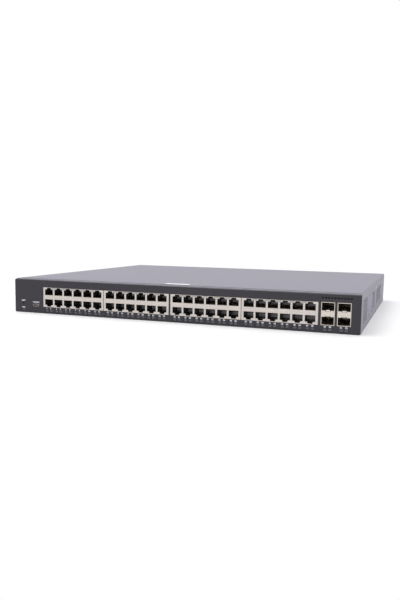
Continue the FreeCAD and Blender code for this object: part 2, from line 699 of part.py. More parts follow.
def obround(body, x, z, width, height, level):
    """Sketch of a slot with round ends."""
    sketch = new_sketch(body, "XZ_Plane", level)
    radius = f"{height} / 2"
    reach = f"({width} - {height}) / 2"
    ends = [f"{x} + {reach}", f"{x} - {reach}"]
    up = FreeCAD.Vector(0, 0, 1)
    quarter = number("pi / 2")
    middle = number(z)
    half = number(radius)
    for index, end in enumerate(ends):
        ring = Part.Circle(FreeCAD.Vector(number(end), middle, 0), up, half)
        turn = (2 * index - 1) * quarter
        sketch.addGeometry(Part.ArcOfCircle(ring, turn, turn + 2 * quarter), False)
    for side in (1, -1):
        start, stop = [FreeCAD.Vector(number(end), middle + side * half, 0) for end in ends[::side]]
        sketch.addGeometry(Part.LineSegment(start, stop), False)
    for arc, end, line, start in ((0, 2, 2, 1), (2, 2, 1, 1), (1, 2, 3, 1), (3, 2, 0, 1)):
        sketch.addConstraint(Sketcher.Constraint("Tangent", arc, end, line, start))
    for arc, end in enumerate(ends):
        fix_point(sketch, arc, 3, end, z)
        index = sketch.addConstraint(Sketcher.Constraint("Radius", arc, half))
        sketch.setExpression(f"Constraints[{index}]", bound(radius))
    return sketch


keep("front_bezel", front_bezel())


def port_outline(side):
    """First port of the upper or lower row: the plug's cavity with the step for its latch."""
    port = "port_width / 2"
    step = "step_width / 2"
    tip = "step_tip / 2"
    right = [(port, PORT_BOTTOM), (port, PORT_TOP), (step, PORT_TOP), (tip, STEP_TOP)]
    corners = [(f"{FIRST_COLUMN} + {half}", f"{side} * {level}") for half, level in right]
    return corners + [(f"{FIRST_COLUMN} - {half}", f"{side} * {level}") for half, level in reversed(right)]


def jack_shield(index, middle):
    """Plated shell of a port block, open below, with stepped port outlines."""
    body = new_body("shield")
    half = f"{JACK_WIDTH} / 2"
    pad(body, polygons(body, "XZ_Plane", [centred("0", "0", JACK_WIDTH, JACK_HEIGHT)]), "jack_depth")
    room = rectangle(f"-{half} + jack_gauge", "jack_gauge", f"{half} - jack_gauge", "jack_depth - jack_gauge")
    pocket(body, polygons(body, "XY_Plane", [room], f"-{JACK_HEIGHT} / 2"), f"{JACK_HEIGHT} - jack_gauge")
    ports = [port_outline(side) for side in ("1", "-1")]
    cut = pocket(body, polygons(body, "XZ_Plane", ports), "2 * jack_gauge")
    repeat(body, [cut], "column_pitch", "column_count")
    place(body, middle, f"{FRONT} + jack_recess", JACK_LEVEL)
    keep(f"jack_shield_{index}", body)


def jack_housing(index, middle):
    """Plastic core of a port block with its plug cavities."""
    body = new_body("housing")
    half = f"({JACK_WIDTH} / 2 - jack_gauge)"
    core = rectangle(f"-{half}", f"-{JACK_HEIGHT} / 2", half, f"{JACK_HEIGHT} / 2 - jack_gauge")
    pad(body, polygons(body, "XZ_Plane", [core], "jack_gauge"), "jack_depth - 2 * jack_gauge")
    ports = [port_outline(side) for side in ("1", "-1")]
    cut = pocket(body, polygons(body, "XZ_Plane", ports, "jack_gauge"), "port_depth")
    repeat(body, [cut], "column_pitch", "column_count")
    place(body, middle, f"{FRONT} + jack_recess", JACK_LEVEL)
    keep(f"jack_housing_{index}", body)


def light_pipe(label, sketch_lamps, left, right, pattern):
    """Clear runner behind the front wall with a tip for each lamp window."""
    body = new_body("pipe")
    fit = "2 * lamp_fit"
    low = "lamp_level - lamp_height / 2 + lamp_fit"
    half = "lamp_width / 2 - lamp_fit"
    back = f"({INSIDE} + pipe_gap)"
    runner = rectangle(f"{left} - {half}", low, f"{right} + {half}", BOARD_UNDER)
    pad(body, polygons(body, "XZ_Plane", [runner], back), "pipe_depth")
    tips = [centred(x, "lamp_level", f"(lamp_width - {fit})", f"(lamp_height - {fit})") for x in sketch_lamps]
    front = f"({FRONT} + lamp_recess)"
    tip = pad(body, polygons(body, "XZ_Plane", tips, front), f"{back} - {front} + pipe_depth / 2")
    if pattern:
        repeat(body, [tip], "column_pitch", "column_count")
    keep(label, body)


for index, middle in enumerate(JACK_CENTRES, start=1):
    jack_shield(index, middle)
    jack_housing(index, middle)
    first, second = column_lamps(middle)
    last = f"({second} + column_pitch * (column_count - 1))"
    light_pipe(f"light_pipe_{index}", [first, second], first, last, True)
lamps = cage_lamps()
light_pipe("light_pipe_sfp", lamps, lamps[0], lamps[-1], False)
light_pipe("light_pipe_status", [STATUS_MIDDLE], STATUS_MIDDLE, STATUS_MIDDLE, False)


def sfp_cage(index, middle):
    """Stacked optical cage: two openings, a band with latch notches and their tabs."""
    body = new_body("cage")
    pad(body, polygons(body, "XZ_Plane", [centred("0", "0", CAGE_WIDTH, CAGE_HEIGHT)]), "cage_depth")
    half = "slot_width / 2"
    openings = [rectangle(f"-{half}", SLOT_BOTTOM, half, SLOT_TOP),
                rectangle(f"-{half}", f"-{SLOT_TOP}", half, f"-{SLOT_BOTTOM}")]
    pocket(body, polygons(body, "XZ_Plane", openings), "slot_depth")
    floor = f"({SLOT_BOTTOM} - latch_depth)"
    notch = "latch_width / 2"
    notches = [rectangle(f"-{notch}", floor, notch, SLOT_BOTTOM),
               rectangle(f"-{notch}", f"-{SLOT_BOTTOM}", notch, f"-{floor}")]
    pocket(body, polygons(body, "XZ_Plane", notches), "latch_reach")
    tab = "latch_tab / 2"
    middle_level = f"({SLOT_BOTTOM} - latch_depth / 2)"
    tabs = [rectangle(f"-{tab}", floor, tab, middle_level),
            rectangle(f"-{tab}", f"-{middle_level}", tab, f"-{floor}")]
    pad(body, polygons(body, "XZ_Plane", tabs, "latch_set"), "latch_reach - latch_set")
    place(body, middle, f"{FRONT} + cage_recess", CAGE_LEVEL)
    keep(f"sfp_cage_{index}", body)


def sfp_connector(index, middle):
    """Card edge connector at the inner end of each opening of a cage."""
    front = f"({FRONT} + cage_recess + slot_depth - card_depth)"
    width = "(slot_width - 2 * card_inset)"
    bodies = []
    for side in ("1", "-1"):
        level = f"({CAGE_LEVEL} + {side} * ({SLOT_BOTTOM} + {SLOT_TOP}) / 2)"
        shell = block(f"{middle} - {width} / 2", front, f"{level} - card_height / 2",
                      width, "card_depth", "card_height")
        slot = block(f"{middle} - {width} / 2 + card_inset", front, f"{level} - card_slot / 2",
                     f"{width} - 2 * card_inset", "card_slot_depth", "card_slot")
        bodies.append(less(shell, slot))
    keep(f"sfp_connector_{index}", group(bodies))


for index, middle in enumerate(CAGE_CENTRES, start=1):
    sfp_cage(index, middle)
    sfp_connector(index, middle)


def console_socket():
    """Small oval socket on the board, with its tongue."""
    body = new_body("console")
    pad(body, obround(body, "0", "0", "console_width", "console_height", "0"), "console_depth")
    inner_width = "(console_width - 2 * console_wall)"
    inner_height = "(console_height - 2 * console_wall)"
    pocket(body, obround(body, "0", "0", inner_width, inner_height, "0"), "console_depth - console_back")
    front = f"({FRONT} + console_recess)"
    keep("console_shell", place(body, CONSOLE_MIDDLE, front, CONSOLE_LEVEL))
    tongue_front = f"{front} + console_depth - console_back - tongue_length"
    tongue = block(f"{CONSOLE_MIDDLE} - tongue_width / 2", tongue_front,
                   f"{CONSOLE_LEVEL} - tongue_gauge / 2", "tongue_width", "tongue_length", "tongue_gauge")
    keep("console_tongue", tongue)


console_socket()


def reset_switch():
    """Side-push switch on the board with the button that a pin presses."""
    button = f"({INSIDE} + button_front)"
    face = f"({button} + button_length - button_seat)"
    shell = block(f"{RESET_MIDDLE} - tact_width / 2", face, "board_top", "tact_width", "tact_depth",
                  "reset_level + tact_rise - board_top")
    bore = rod(RESET_MIDDLE, face, "reset_level", "button_radius + button_gap",
               "button_seat + button_travel + button_gap", "Y")
    keep("reset_switch", less(shell, bore))
    keep("reset_button", rod(RESET_MIDDLE, button, "reset_level", "button_radius", "button_length", "Y"))


reset_switch()


def main_board():
    """Board across the whole case, notched where the supply board stands behind it."""
    whole = block(f"-{BOARD_SIDE}", BOARD_FRONT, BOARD_UNDER, f"2 * {BOARD_SIDE}", "board_depth",
                  "board_gauge")
    notch = block(POWER_LEFT, NOTCH_FRONT, BOARD_UNDER, "power_width + boards_gap", "power_depth",
                  "board_gauge")
    return less(whole, notch)


keep("main_board", main_board())


def standoffs():
    """Hexagonal posts that carry both boards on the tray."""
    columns = int(number("post_columns"))
    reach = f"({BOARD_SIDE} - post_inset)"
    spots = []
    for column in range(columns):
        x = f"(-{reach} + 2 * {reach} * {column} / (post_columns - 1))"
        spots += [(x, f"({BOARD_FRONT} + board_depth / 3)"), (x, f"({BOARD_LEFT_BACK} - post_inset)")]
    spots += [(x, y) for x in (f"({POWER_LEFT} + post_inset)", f"({POWER_RIGHT} - post_inset)")
              for y in (f"({POWER_FRONT} + post_inset)", f"({POWER_BACK} - post_inset)")]
    rise = f"{BOARD_UNDER} - sheet_gauge"
    return group([prism(x, y, "sheet_gauge", "post_flat", rise, "Z") for x, y in spots])


keep("board_standoffs", standoffs())


def on_board(x, y, width, depth, rise, base="board_top"):
    """Plain part that stands on a board, from the middle of its footprint."""
    return block(f"{x} - {width} / 2", f"{y} - {depth} / 2", base, width, depth, rise)


def heat_sink(x, y, base, width, depth, rise, fins):
    """Finned block: a base plate with a row of fins along the case."""
    body = new_body("sink")
    pad(body, polygons(body, "XY_Plane", [centred("0", "0", width, depth)]), "sink_base")
    first = rectangle(f"-{width} / 2", f"-{depth} / 2", f"-{width} / 2 + fin_gauge", f"{depth} / 2")
    fin = pad(body, polygons(body, "XY_Plane", [first], "sink_base"), rise)
    repeat(body, [fin], f"({width} - fin_gauge) / ({fins} - 1)", fins)
    return place(body, x, y, base)


CHIP_BACK = f"({FRONT} + chip_back)"
PHY_BACK = f"({FRONT} + phy_back)"
keep("switch_chip", on_board("0", CHIP_BACK, "chip_width", "chip_width", "chip_rise"))
keep("switch_heat_sink", heat_sink("0", CHIP_BACK, "board_top + chip_rise", "sink_width", "sink_width",
                                   "sink_rise", "sink_fins"))
chips = [on_board(x, PHY_BACK, "phy_width", "phy_width", "phy_rise") for x in JACK_CENTRES]
keep("phy_chips", group(chips))
sinks = [heat_sink(x, PHY_BACK, "board_top + phy_rise", "phy_sink_width", "phy_sink_depth",
                   "phy_sink_rise", "phy_sink_fins") for x in JACK_CENTRES]
keep("phy_heat_sinks", group(sinks))
memories = [on_board(x, CHIP_BACK, "memory_width", "memory_depth", "memory_rise")
            for x in ("memory_middle", "(memory_middle + memory_pitch)")]
keep("memory_chips", group(memories))


def fan_frame():
    """Square frame with round bore, motor plate on four struts and a bearing hole."""
    square = block(f"fan_middle - {FAN_SIZE} / 2", FAN_FRONT, f"{FAN_LEVEL} - {FAN_SIZE} / 2",
                   FAN_SIZE, "fan_depth", FAN_SIZE)
    ring = less(square, rod("fan_middle", FAN_FRONT, FAN_LEVEL, FAN_BORE, "fan_depth", "Y"))
    web = f"({REAR_INSIDE} - fan_web)"
    across = f"({FAN_SIZE} - fan_wall)"
    plate = rod("fan_middle", web, FAN_LEVEL, "fan_hub", "fan_web", "Y")
    level_strut = block(f"fan_middle - {across} / 2", web, f"{FAN_LEVEL} - strut_width / 2",
                        across, "fan_web", "strut_width")
    upright_strut = block("fan_middle - strut_width / 2", web, f"{FAN_LEVEL} - {across} / 2",
                          "strut_width", "fan_web", across)
    bearing = rod("fan_middle", web, FAN_LEVEL, "shaft_radius + shaft_gap", "fan_web", "Y")
    return less(joined([ring, plate, level_strut, upright_strut]), bearing)


def fan_rotor():
    """Hub with swept blades and a shaft that runs in the frame's bearing."""
    body = new_body("rotor")
    rear = "(fan_depth - fan_web - rotor_gap)"
    pad(body, circles(body, "XZ_Plane", [("0", "0", "rotor_hub")], "rotor_inset"), f"{rear} - rotor_inset")
    pad(body, circles(body, "XZ_Plane", [("0", "0", "shaft_radius")], rear), "rotor_gap + shaft_seat")
    edge = "blade_sweep / 2"
    near = "rotor_inset + blade_inset"
    far = f"{rear} - blade_inset"
    outline = [(f"-{edge}", near), (f"-{edge} + blade_gauge", near),
               (edge, far), (f"{edge} - blade_gauge", far)]
    root = "(rotor_hub - blade_root)"
    blade = pad(body, polygons(body, "XY_Plane", [outline], root), f"{FAN_BORE} - blade_gap - {root}")
    ring = body.newObject("PartDesign::PolarPattern", "blades")
    ring.Originals = [blade]
    ring.Axis = (origin_part(body, "Y_Axis"), [""])
    ring.Angle = 360
    ring.setExpression("Occurrences", bound("blade_count"))
    body.Tip = ring
    return place(body, "fan_middle", FAN_FRONT, FAN_LEVEL)


def fan_lead(side, header_back):
    """Flat lead from its header up and back to the fan's upper corner."""
    start = f"({header_back} - lead_gauge / 2)"
    top = f"({FAN_LEVEL} + {FAN_SIZE} / 2 - lead_drop)"
    foot = "(board_top + header_rise)"
    outline = [
        (start, foot),
        (start, f"{top} - lead_bend"),
        (f"{start} + lead_bend", top),
        (FAN_FRONT, top),
        (FAN_FRONT, f"{top} - lead_gauge"),
        (f"{start} + lead_bend + lead_gauge / 2", f"{top} - lead_gauge"),
        (f"{start} + lead_gauge", f"{top} - lead_bend - lead_gauge / 2"),
        (f"{start} + lead_gauge", foot),
    ]
    body = new_body("lead")
    pad(body, polygons(body, "YZ_Plane", [outline], f"{side} - lead_width / 2"), "lead_width")
    return body


keep("fan_frame", fan_frame())
keep("fan_rotor", fan_rotor())
LEAD_SIDE = "(fan_middle + lead_side)"
HEADER_BACK = f"({BOARD_BACK} - header_inset)"
keep("fan_header", on_board(LEAD_SIDE, HEADER_BACK, "header_width", "header_depth", "header_rise"))
keep("fan_lead", fan_lead(LEAD_SIDE, HEADER_BACK))


def power_supply():
    """Supply board with its insulating film and the tall parts that stand on it."""
    keep("power_board", block(POWER_LEFT, POWER_FRONT, BOARD_UNDER, "power_width", "power_depth",
                              "board_gauge"))
    keep("insulator_sheet", block(f"{POWER_LEFT} + film_inset", POWER_FRONT, "sheet_gauge",
                                  "power_width - 2 * film_inset", "power_depth", "film_gauge"))
    keep("bulk_capacitor", rod(f"{POWER_LEFT} + can_side", f"{POWER_FRONT} + can_back", "board_top",
                               "can_radius", "can_rise", "Z"))
    x = f"({POWER_LEFT} + power_width / 2)"
    y = f"({POWER_FRONT} + core_back)"
    core = on_board(x, y, "core_width", "core_depth", "core_rise")
    coil = on_board(x, y, "(core_width - 2 * coil_proud)", "(core_depth + 2 * coil_proud)", "coil_rise",
                    "board_top + (core_rise - coil_rise) / 2")
    keep("transformer", joined([core, coil]))
    keep("filter_choke", on_board(f"({POWER_LEFT} + choke_side)", f"({POWER_FRONT} + choke_back)",
                                  "choke_width", "choke_width", "choke_rise"))
    plates = [heat_sink(f"{POWER_LEFT} + plate_side + {shift}", f"{POWER_FRONT} + plate_back", "board_top",
                        "plate_width", "plate_depth", "plate_rise", "plate_fins")
              for shift in ("0", "plate_pitch")]
    keep("power_heat_sinks", group(plates))


power_supply()


def supply_ribbon():
    """Flat ribbon that bridges the two boards between a header on each."""
    near = f"({BOARD_LEFT_BACK} - header_inset)"
    far = f"({POWER_FRONT} + header_inset)"
    keep("dc_headers", group([on_board(LINK_MIDDLE, y, "link_width", "link_head", "header_rise")
                              for y in (near, far)]))
    body = new_body("ribbon")
    foot = "(board_top + header_rise)"
    half = "link_gauge / 2"
    outer = f"({foot} + link_rise)"
    inner = f"({outer} - link_gauge)"
    outline = [
        (f"{near} - {half}", foot),
        (f"{near} - {half}", f"{outer} - link_bend"),
        (f"{near} - {half} + link_bend", outer),
        (f"{far} + {half} - link_bend", outer),
        (f"{far} + {half}", f"{outer} - link_bend"),
        (f"{far} + {half}", foot),
        (f"{far} - {half}", foot),
        (f"{far} - {half}", f"{inner} - link_bend + {half}"),
        (f"{far} - {half} - link_bend + {half}", inner),
        (f"{near} + {half} + link_bend - {half}", inner),
        (f"{near} + {half}", f"{inner} - link_bend + {half}"),
        (f"{near} + {half}", foot),
    ]
    pad(body, polygons(body, "YZ_Plane", [outline], f"{LINK_MIDDLE} - link_width / 2"), "link_width")
    keep("dc_ribbon", body)


supply_ribbon()


def inlet_pins():
    """Three flat pins whose tails bend down to the supply board."""
    tip = f"{REAR} + rear_proud - blade_pin_set"
    back = f"({REAR} - inlet_depth)"
    pins = []
    for side, up in (("-1", "-1"), ("0", "1"), ("1", "-1")):
        x = f"({INLET_MIDDLE} + {side} * blade_pin_side)"
        level = f"(inlet_level + {up} * blade_pin_offset)"
        tail = f"{back} - blade_pin_tail"
        body = new_body("pin")
        outline = [
            (tip, f"{level} + blade_pin_height / 2"),
            (tail, f"{level} + blade_pin_height / 2"),
            (tail, "board_top"),
            (back, "board_top"),
            (back, f"{level} - blade_pin_height / 2"),
            (tip, f"{level} - blade_pin_height / 2"),
        ]
        pad(body, polygons(body, "YZ_Plane", [outline], f"{x} - blade_pin_width / 2"), "blade_pin_width")
        pins.append(body)
    return group(pins)


def mains_inlet(pins):
    """Flanged socket in the rear wall, cut to fit its pins."""
    body = new_body("inlet")
    flange = centred(INLET_MIDDLE, "inlet_level", "(inlet_width + 2 * inlet_ear)",
                     "(inlet_height + 2 * inlet_lip)")
    pad(body, polygons(body, "XZ_Plane", [flange], REAR), "rear_proud")
    shell = centred(INLET_MIDDLE, "inlet_level", "inlet_width", "inlet_height")
    pad(body, polygons(body, "XZ_Plane", [shell], f"{REAR} - inlet_depth"), "inlet_depth")
    left = f"{INLET_MIDDLE} - inlet_width / 2 + inlet_rim"
    right = f"{INLET_MIDDLE} + inlet_width / 2 - inlet_rim"
    low = "inlet_level - inlet_height / 2 + inlet_rim"
    high = "inlet_level + inlet_height / 2 - inlet_rim"
    socket = [(left, low), (right, low), (right, f"{high} - inlet_bevel"), (f"{right} - inlet_bevel", high),
              (f"{left} + inlet_bevel", high), (left, f"{high} - inlet_bevel")]
    pocket(body, polygons(body, "XZ_Plane", [socket], f"{REAR} + rear_proud - inlet_socket"), "inlet_socket")
    return less(body, pins)


pins = keep("inlet_pins", inlet_pins())
keep("mains_inlet", mains_inlet(pins))

# Everything has to be sound before a file is written
doc.recompute()
for item in doc.Objects:
    if "Invalid" in item.State or "Error" in item.State:
        raise RuntimeError(f"{item.Label} failed: {item.State}")
for piece in parts:
    shape = piece.Shape
    if shape.isNull() or not shape.isValid() or not shape.Solids:
        raise RuntimeError(f"{piece.Label} has no sound solid")

os.makedirs("parts", exist_ok=True)
for piece in parts:
    piece.Shape.exportStep(f"parts/{piece.Label}.step")
    print(piece.Label, len(piece.Shape.Solids), round(piece.Shape.Volume))
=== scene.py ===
import math

import bmesh
import bpy
from mathutils import Matrix, Vector


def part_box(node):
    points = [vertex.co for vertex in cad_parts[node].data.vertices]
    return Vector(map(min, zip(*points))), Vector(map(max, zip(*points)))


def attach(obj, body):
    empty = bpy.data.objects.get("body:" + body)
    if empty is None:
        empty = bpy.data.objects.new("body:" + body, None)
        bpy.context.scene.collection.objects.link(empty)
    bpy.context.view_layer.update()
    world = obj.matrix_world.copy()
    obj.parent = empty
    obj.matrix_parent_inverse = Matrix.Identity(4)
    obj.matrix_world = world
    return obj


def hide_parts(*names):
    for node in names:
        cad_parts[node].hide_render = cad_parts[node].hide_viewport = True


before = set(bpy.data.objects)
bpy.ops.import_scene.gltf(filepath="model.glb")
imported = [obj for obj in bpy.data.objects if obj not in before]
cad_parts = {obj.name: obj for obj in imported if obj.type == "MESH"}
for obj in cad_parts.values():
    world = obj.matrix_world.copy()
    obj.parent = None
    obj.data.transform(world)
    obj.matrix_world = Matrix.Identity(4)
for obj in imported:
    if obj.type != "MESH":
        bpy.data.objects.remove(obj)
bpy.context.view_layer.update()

# Looks of a rack-mount ethernet switch, one rack unit high.
# Metres. X runs to the right as seen from the front, Y to the rear and Z up.

MM = 0.001
CASE = "case"
FAN = "fan"
BLOCKS = (1, 2, 3, 4)
CAGES = (1, 2)
COLUMNS = 6
COLUMN_PITCH = 13.97 * MM
RIGHT = Vector((1, 0, 0))
BACK = Vector((0, 1, 0))
UP = Vector((0, 0, 1))
NOWHERE = Vector((0, 0, 0))
# Faces that meet at less than FLAT are one face, past CREASE their edge is sharp and past SQUARE a cut edge
FLAT = math.radians(1)
CREASE = math.radians(40)
SQUARE = math.radians(60)

# Places read from the frame
bezel_low, bezel_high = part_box("front_bezel")
cover_low, cover_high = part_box("top_cover")
inlet_low, inlet_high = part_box("mains_inlet")
fan_low, fan_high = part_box("fan_frame")
FACE = bezel_low.y
REAR_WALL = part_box("chassis_base")[1].y


def middle(low, high):
    """Point half way between two corners."""
    return (low + high) / 2


# Shader groups and finishes

def new_group(name, inputs, outputs):
    """Empty shader group with named sockets and their defaults."""
    group = bpy.data.node_groups.new(name, "ShaderNodeTree")
    for label, kind, value in inputs:
        socket = group.interface.new_socket(label, in_out="INPUT", socket_type=f"NodeSocket{kind}")
        socket.default_value = value
    for label, kind in outputs:
        group.interface.new_socket(label, in_out="OUTPUT", socket_type=f"NodeSocket{kind}")
    return group, group.nodes.new("NodeGroupInput"), group.nodes.new("NodeGroupOutput")


class Wiring:
    """Short ways to add and join nodes of one tree."""

    def __init__(self, tree):
        self.tree = tree

    def add(self, kind, **settings):
        """New node with its settings."""
        node = self.tree.nodes.new(kind)
        for key, value in settings.items():
            setattr(node, key, value)
        return node

    def join(self, source, target):
        """Link an output to an input."""
        self.tree.links.new(source, target)

    def feed(self, socket, value):
        """Join an output to a socket, or set the socket's own value."""
        if isinstance(value, bpy.types.NodeSocket):
            self.join(value, socket)
        else:
            socket.default_value = value

    def noise(self, vector, scale, detail=2.0):
        """Soft noise from 0 to 1."""
        node = self.add("ShaderNodeTexNoise")
        self.join(vector, node.inputs["Vector"])
        self.feed(node.inputs["Scale"], scale)
        node.inputs["Detail"].default_value = detail
        return node.outputs["Fac"]

    def stretch(self, vector, scale):
        """Coordinates scaled along each axis."""
        node = self.add("ShaderNodeMapping")
        self.join(vector, node.inputs["Vector"])
        self.feed(node.inputs["Scale"], scale)
        return node.outputs["Vector"]

    def spread(self, value, low, high):
        """Map a 0 to 1 value to a range."""
        node = self.add("ShaderNodeMapRange")
        self.join(value, node.inputs["Value"])
        self.feed(node.inputs["To Min"], low)
        self.feed(node.inputs["To Max"], high)
        return node.outputs["Result"]

    def math(self, operation, first, second):
        """One sum on two values."""
        node = self.add("ShaderNodeMath", operation=operation)
        self.feed(node.inputs[0], first)
        self.feed(node.inputs[1], second)
        return node.outputs[0]

    def shade(self, colour, factor):
        """Colour times a grey value."""
        node = self.add("ShaderNodeVectorMath", operation="SCALE")
        self.feed(node.inputs[0], colour)
        self.feed(node.inputs["Scale"], factor)
        return node.outputs[0]


# Fineness of the coat's clouds and of the plate's tarnish, tone of the coat's grain and depth of the bump
CLOUD_SCALE = 14.0
TARNISH_SCALE = 120.0
SPECK = 0.06
RELIEF = 0.1 * MM
LONG_STREAKS = (60.0, 900.0, 900.0)


def coating_group():
    """Fine sprayed coat: faint clouds of tone, a grainy skin and its bump."""
    inputs = [("Colour", "Color", (0.5, 0.5, 0.5, 1)), ("Clouds", "Float", 0.05), ("Grain", "Float", 1800.0),
              ("Smooth", "Float", 0.4), ("Rough", "Float", 0.5)]
    group, entry, leave = new_group("sprayed_coat", inputs, [("Colour", "Color"), ("Roughness", "Float"),
                                                              ("Height", "Float")])
    wiring = Wiring(group)
    place = wiring.add("ShaderNodeTexCoord").outputs["Object"]
    clouds = wiring.noise(place, CLOUD_SCALE, 4.0)
    grain = wiring.noise(place, entry.outputs["Grain"], 2.0)
    low = wiring.math("SUBTRACT", 1.0, entry.outputs["Clouds"])
    high = wiring.math("ADD", 1.0, entry.outputs["Clouds"])
    tone = wiring.spread(clouds, low, high)
    speck = wiring.spread(grain, 1 - SPECK, 1 + SPECK)
    colour = wiring.shade(entry.outputs["Colour"], wiring.math("MULTIPLY", tone, speck))
    wiring.join(colour, leave.inputs["Colour"])
    roughness = wiring.spread(clouds, entry.outputs["Smooth"], entry.outputs["Rough"])
    wiring.join(roughness, leave.inputs["Roughness"])
    wiring.join(grain, leave.inputs["Height"])
    return group


def rolled_group():
    """Rolled and plated sheet: long streaks along one way, with cloudy tarnish."""
    inputs = [("Colour", "Color", (0.6, 0.6, 0.6, 1)), ("Streaks", "Vector", LONG_STREAKS),
              ("Depth", "Float", 0.08), ("Smooth", "Float", 0.25), ("Rough", "Float", 0.42)]
    group, entry, leave = new_group("rolled_plate", inputs, [("Colour", "Color"), ("Roughness", "Float"),
                                                              ("Height", "Float")])
    wiring = Wiring(group)
    place = wiring.add("ShaderNodeTexCoord").outputs["Object"]
    streaks = wiring.noise(wiring.stretch(place, entry.outputs["Streaks"]), 1.0, 3.0)
    tarnish = wiring.noise(place, TARNISH_SCALE, 3.0)
    low = wiring.math("SUBTRACT", 1.0, entry.outputs["Depth"])
    high = wiring.math("ADD", 1.0, entry.outputs["Depth"])
    tone = wiring.math("MULTIPLY", wiring.spread(streaks, low, high), wiring.spread(tarnish, low, high))
    wiring.join(wiring.shade(entry.outputs["Colour"], tone), leave.inputs["Colour"])
    mixed = wiring.math("MULTIPLY", wiring.math("ADD", streaks, tarnish), 0.5)
    roughness = wiring.spread(mixed, entry.outputs["Smooth"], entry.outputs["Rough"])
    wiring.join(roughness, leave.inputs["Roughness"])
    wiring.join(streaks, leave.inputs["Height"])
    return group


COATING = coating_group()
ROLLED = rolled_group()


def finish(name, group, values, bump, metallic=0.0, settings=()):
    """Material whose colour, roughness and bump come from a shared group."""
    material = bpy.data.materials.new(name)
    material.use_nodes = True
    wiring = Wiring(material.node_tree)
    shader = material.node_tree.nodes["Principled BSDF"]
    effect = wiring.add("ShaderNodeGroup", node_tree=group)
    for label, value in values.items():
        effect.inputs[label].default_value = value
    wiring.join(effect.outputs["Colour"], shader.inputs["Base Color"])
    wiring.join(effect.outputs["Roughness"], shader.inputs["Roughness"])
    relief = wiring.add("ShaderNodeBump")
    relief.inputs["Strength"].default_value = bump
    relief.inputs["Distance"].default_value = RELIEF
    wiring.join(effect.outputs["Height"], relief.inputs["Height"])
    wiring.join(relief.outputs["Normal"], shader.inputs["Normal"])
    shader.inputs["Metallic"].default_value = metallic
    for label, value in settings:
        shader.inputs[label].default_value = value
    return material


def coated(name, colour, clouds=0.05, grain=1800.0, roughness=(0.4, 0.5), bump=0.15, settings=()):
    """Paint, moulded plastic, print or film."""
    values = {"Colour": (*colour, 1), "Clouds": clouds, "Grain": grain,
              "Smooth": roughness[0], "Rough": roughness[1]}
    return finish(name, COATING, values, bump, settings=settings)


def rolled(name, colour, streaks=LONG_STREAKS, depth=0.08, roughness=(0.25, 0.42), bump=0.1):
    """Bare or plated metal."""
    values = {"Colour": (*colour, 1), "Streaks": streaks, "Depth": depth,
              "Smooth": roughness[0], "Rough": roughness[1]}
    return finish(name, ROLLED, values, bump, metallic=1.0)


CASE_PAINT = coated("case_paint", (0.292, 0.283, 0.333), 0.04, 2200.0, (0.42, 0.5), 0.2,
                    settings=[("Specular IOR Level", 0.03)])
BEZEL_COAT = coated("bezel_coat", (0.055, 0.052, 0.06), 0.07, 2600.0, (0.46, 0.58), 0.25,
                    settings=[("Specular IOR Level", 0.1)])
# Darker coat for the bezel's top face behind its edge: painted shade
BEZEL_SHADE = coated("bezel_shade", (0.03, 0.029, 0.033), 0.07, 2600.0, (0.6, 0.7), 0.25,
                     settings=[("Specular IOR Level", 0.0)])
# Paler coat for the bezel's bevelled top edge: a painted highlight
BEZEL_HIGHLIGHT = coated("bezel_rim", (0.12, 0.115, 0.125), 0.1, 2600.0, (0.3, 0.42), 0.15)
NICKEL = rolled("nickel_plate", (0.6, 0.55, 0.515))
CAGE_STEEL = rolled("cage_steel", (0.64, 0.59, 0.53), roughness=(0.2, 0.36))
# Darker, browner steel inside the cages: painted shade
CAGE_SHADE = rolled("cage_dark", (0.34, 0.3, 0.25), depth=0.2, roughness=(0.4, 0.55))
# Spring steel of the port tabs, darker than the shells as partly painted shade
SPRING_STEEL_SHADED = rolled("spring_steel", (0.4, 0.385, 0.37), roughness=(0.44, 0.56))
GOLD = rolled("gold_flash", (0.3, 0.175, 0.085), (900.0, 80.0, 900.0), 0.1, (0.3, 0.42))
PORT_BLACK = coated("port_black", (0.02, 0.0195, 0.021), 0.1, 1500.0, (0.3, 0.42), 0.1)
# Grey of the console socket's tongue, and of the port inserts, where it is a painted reflection
TONGUE_AND_REFLECTION_GREY = coated("carrier_grey", (0.3, 0.29, 0.305), 0.1, 1500.0, (0.3, 0.42), 0.1)
CARD_BROWN = coated("card_brown", (0.27, 0.2, 0.14), 0.12, 1500.0, (0.35, 0.5), 0.1)
# Near-black of the strips of painted shadow above the port shells
SHADOW_BLACK = coated("seal_foam", (0.01, 0.0095, 0.01), 0.15, 2400.0, (0.75, 0.88), 0.4,
                   settings=[("Specular IOR Level", 0.1)])
LAMP_GREY = coated("lamp_grey", (0.13, 0.126, 0.138), 0.08, 900.0, (0.2, 0.28), 0.05,
                   settings=[("Transmission Weight", 0.2)])
PRINT_WHITE = coated("print_white", (0.86, 0.88, 0.95), 0.03, 3000.0, (0.5, 0.6), 0.05)
LABEL_WHITE = coated("label_white", (0.93, 0.93, 0.95), 0.02, 1200.0, (0.35, 0.42), 0.05)
SCREW_ZINC = rolled("screw_zinc", (0.55, 0.56, 0.58), (500.0, 500.0, 500.0), 0.12, (0.25, 0.4))
BOARD_GREEN = coated("board_green", (0.02, 0.12, 0.05), 0.25, 700.0, (0.25, 0.4), 0.1)
CHIP_BLACK = coated("chip_black", (0.02, 0.02, 0.022), 0.1, 2500.0, (0.45, 0.6), 0.15)
FIN_ALUMINIUM = rolled("fin_aluminium", (0.72, 0.73, 0.75), (900.0, 50.0, 900.0), 0.06, (0.3, 0.45))
POST_BRASS = rolled("post_brass", (0.66, 0.5, 0.24), (400.0, 400.0, 60.0), 0.1, (0.25, 0.4))
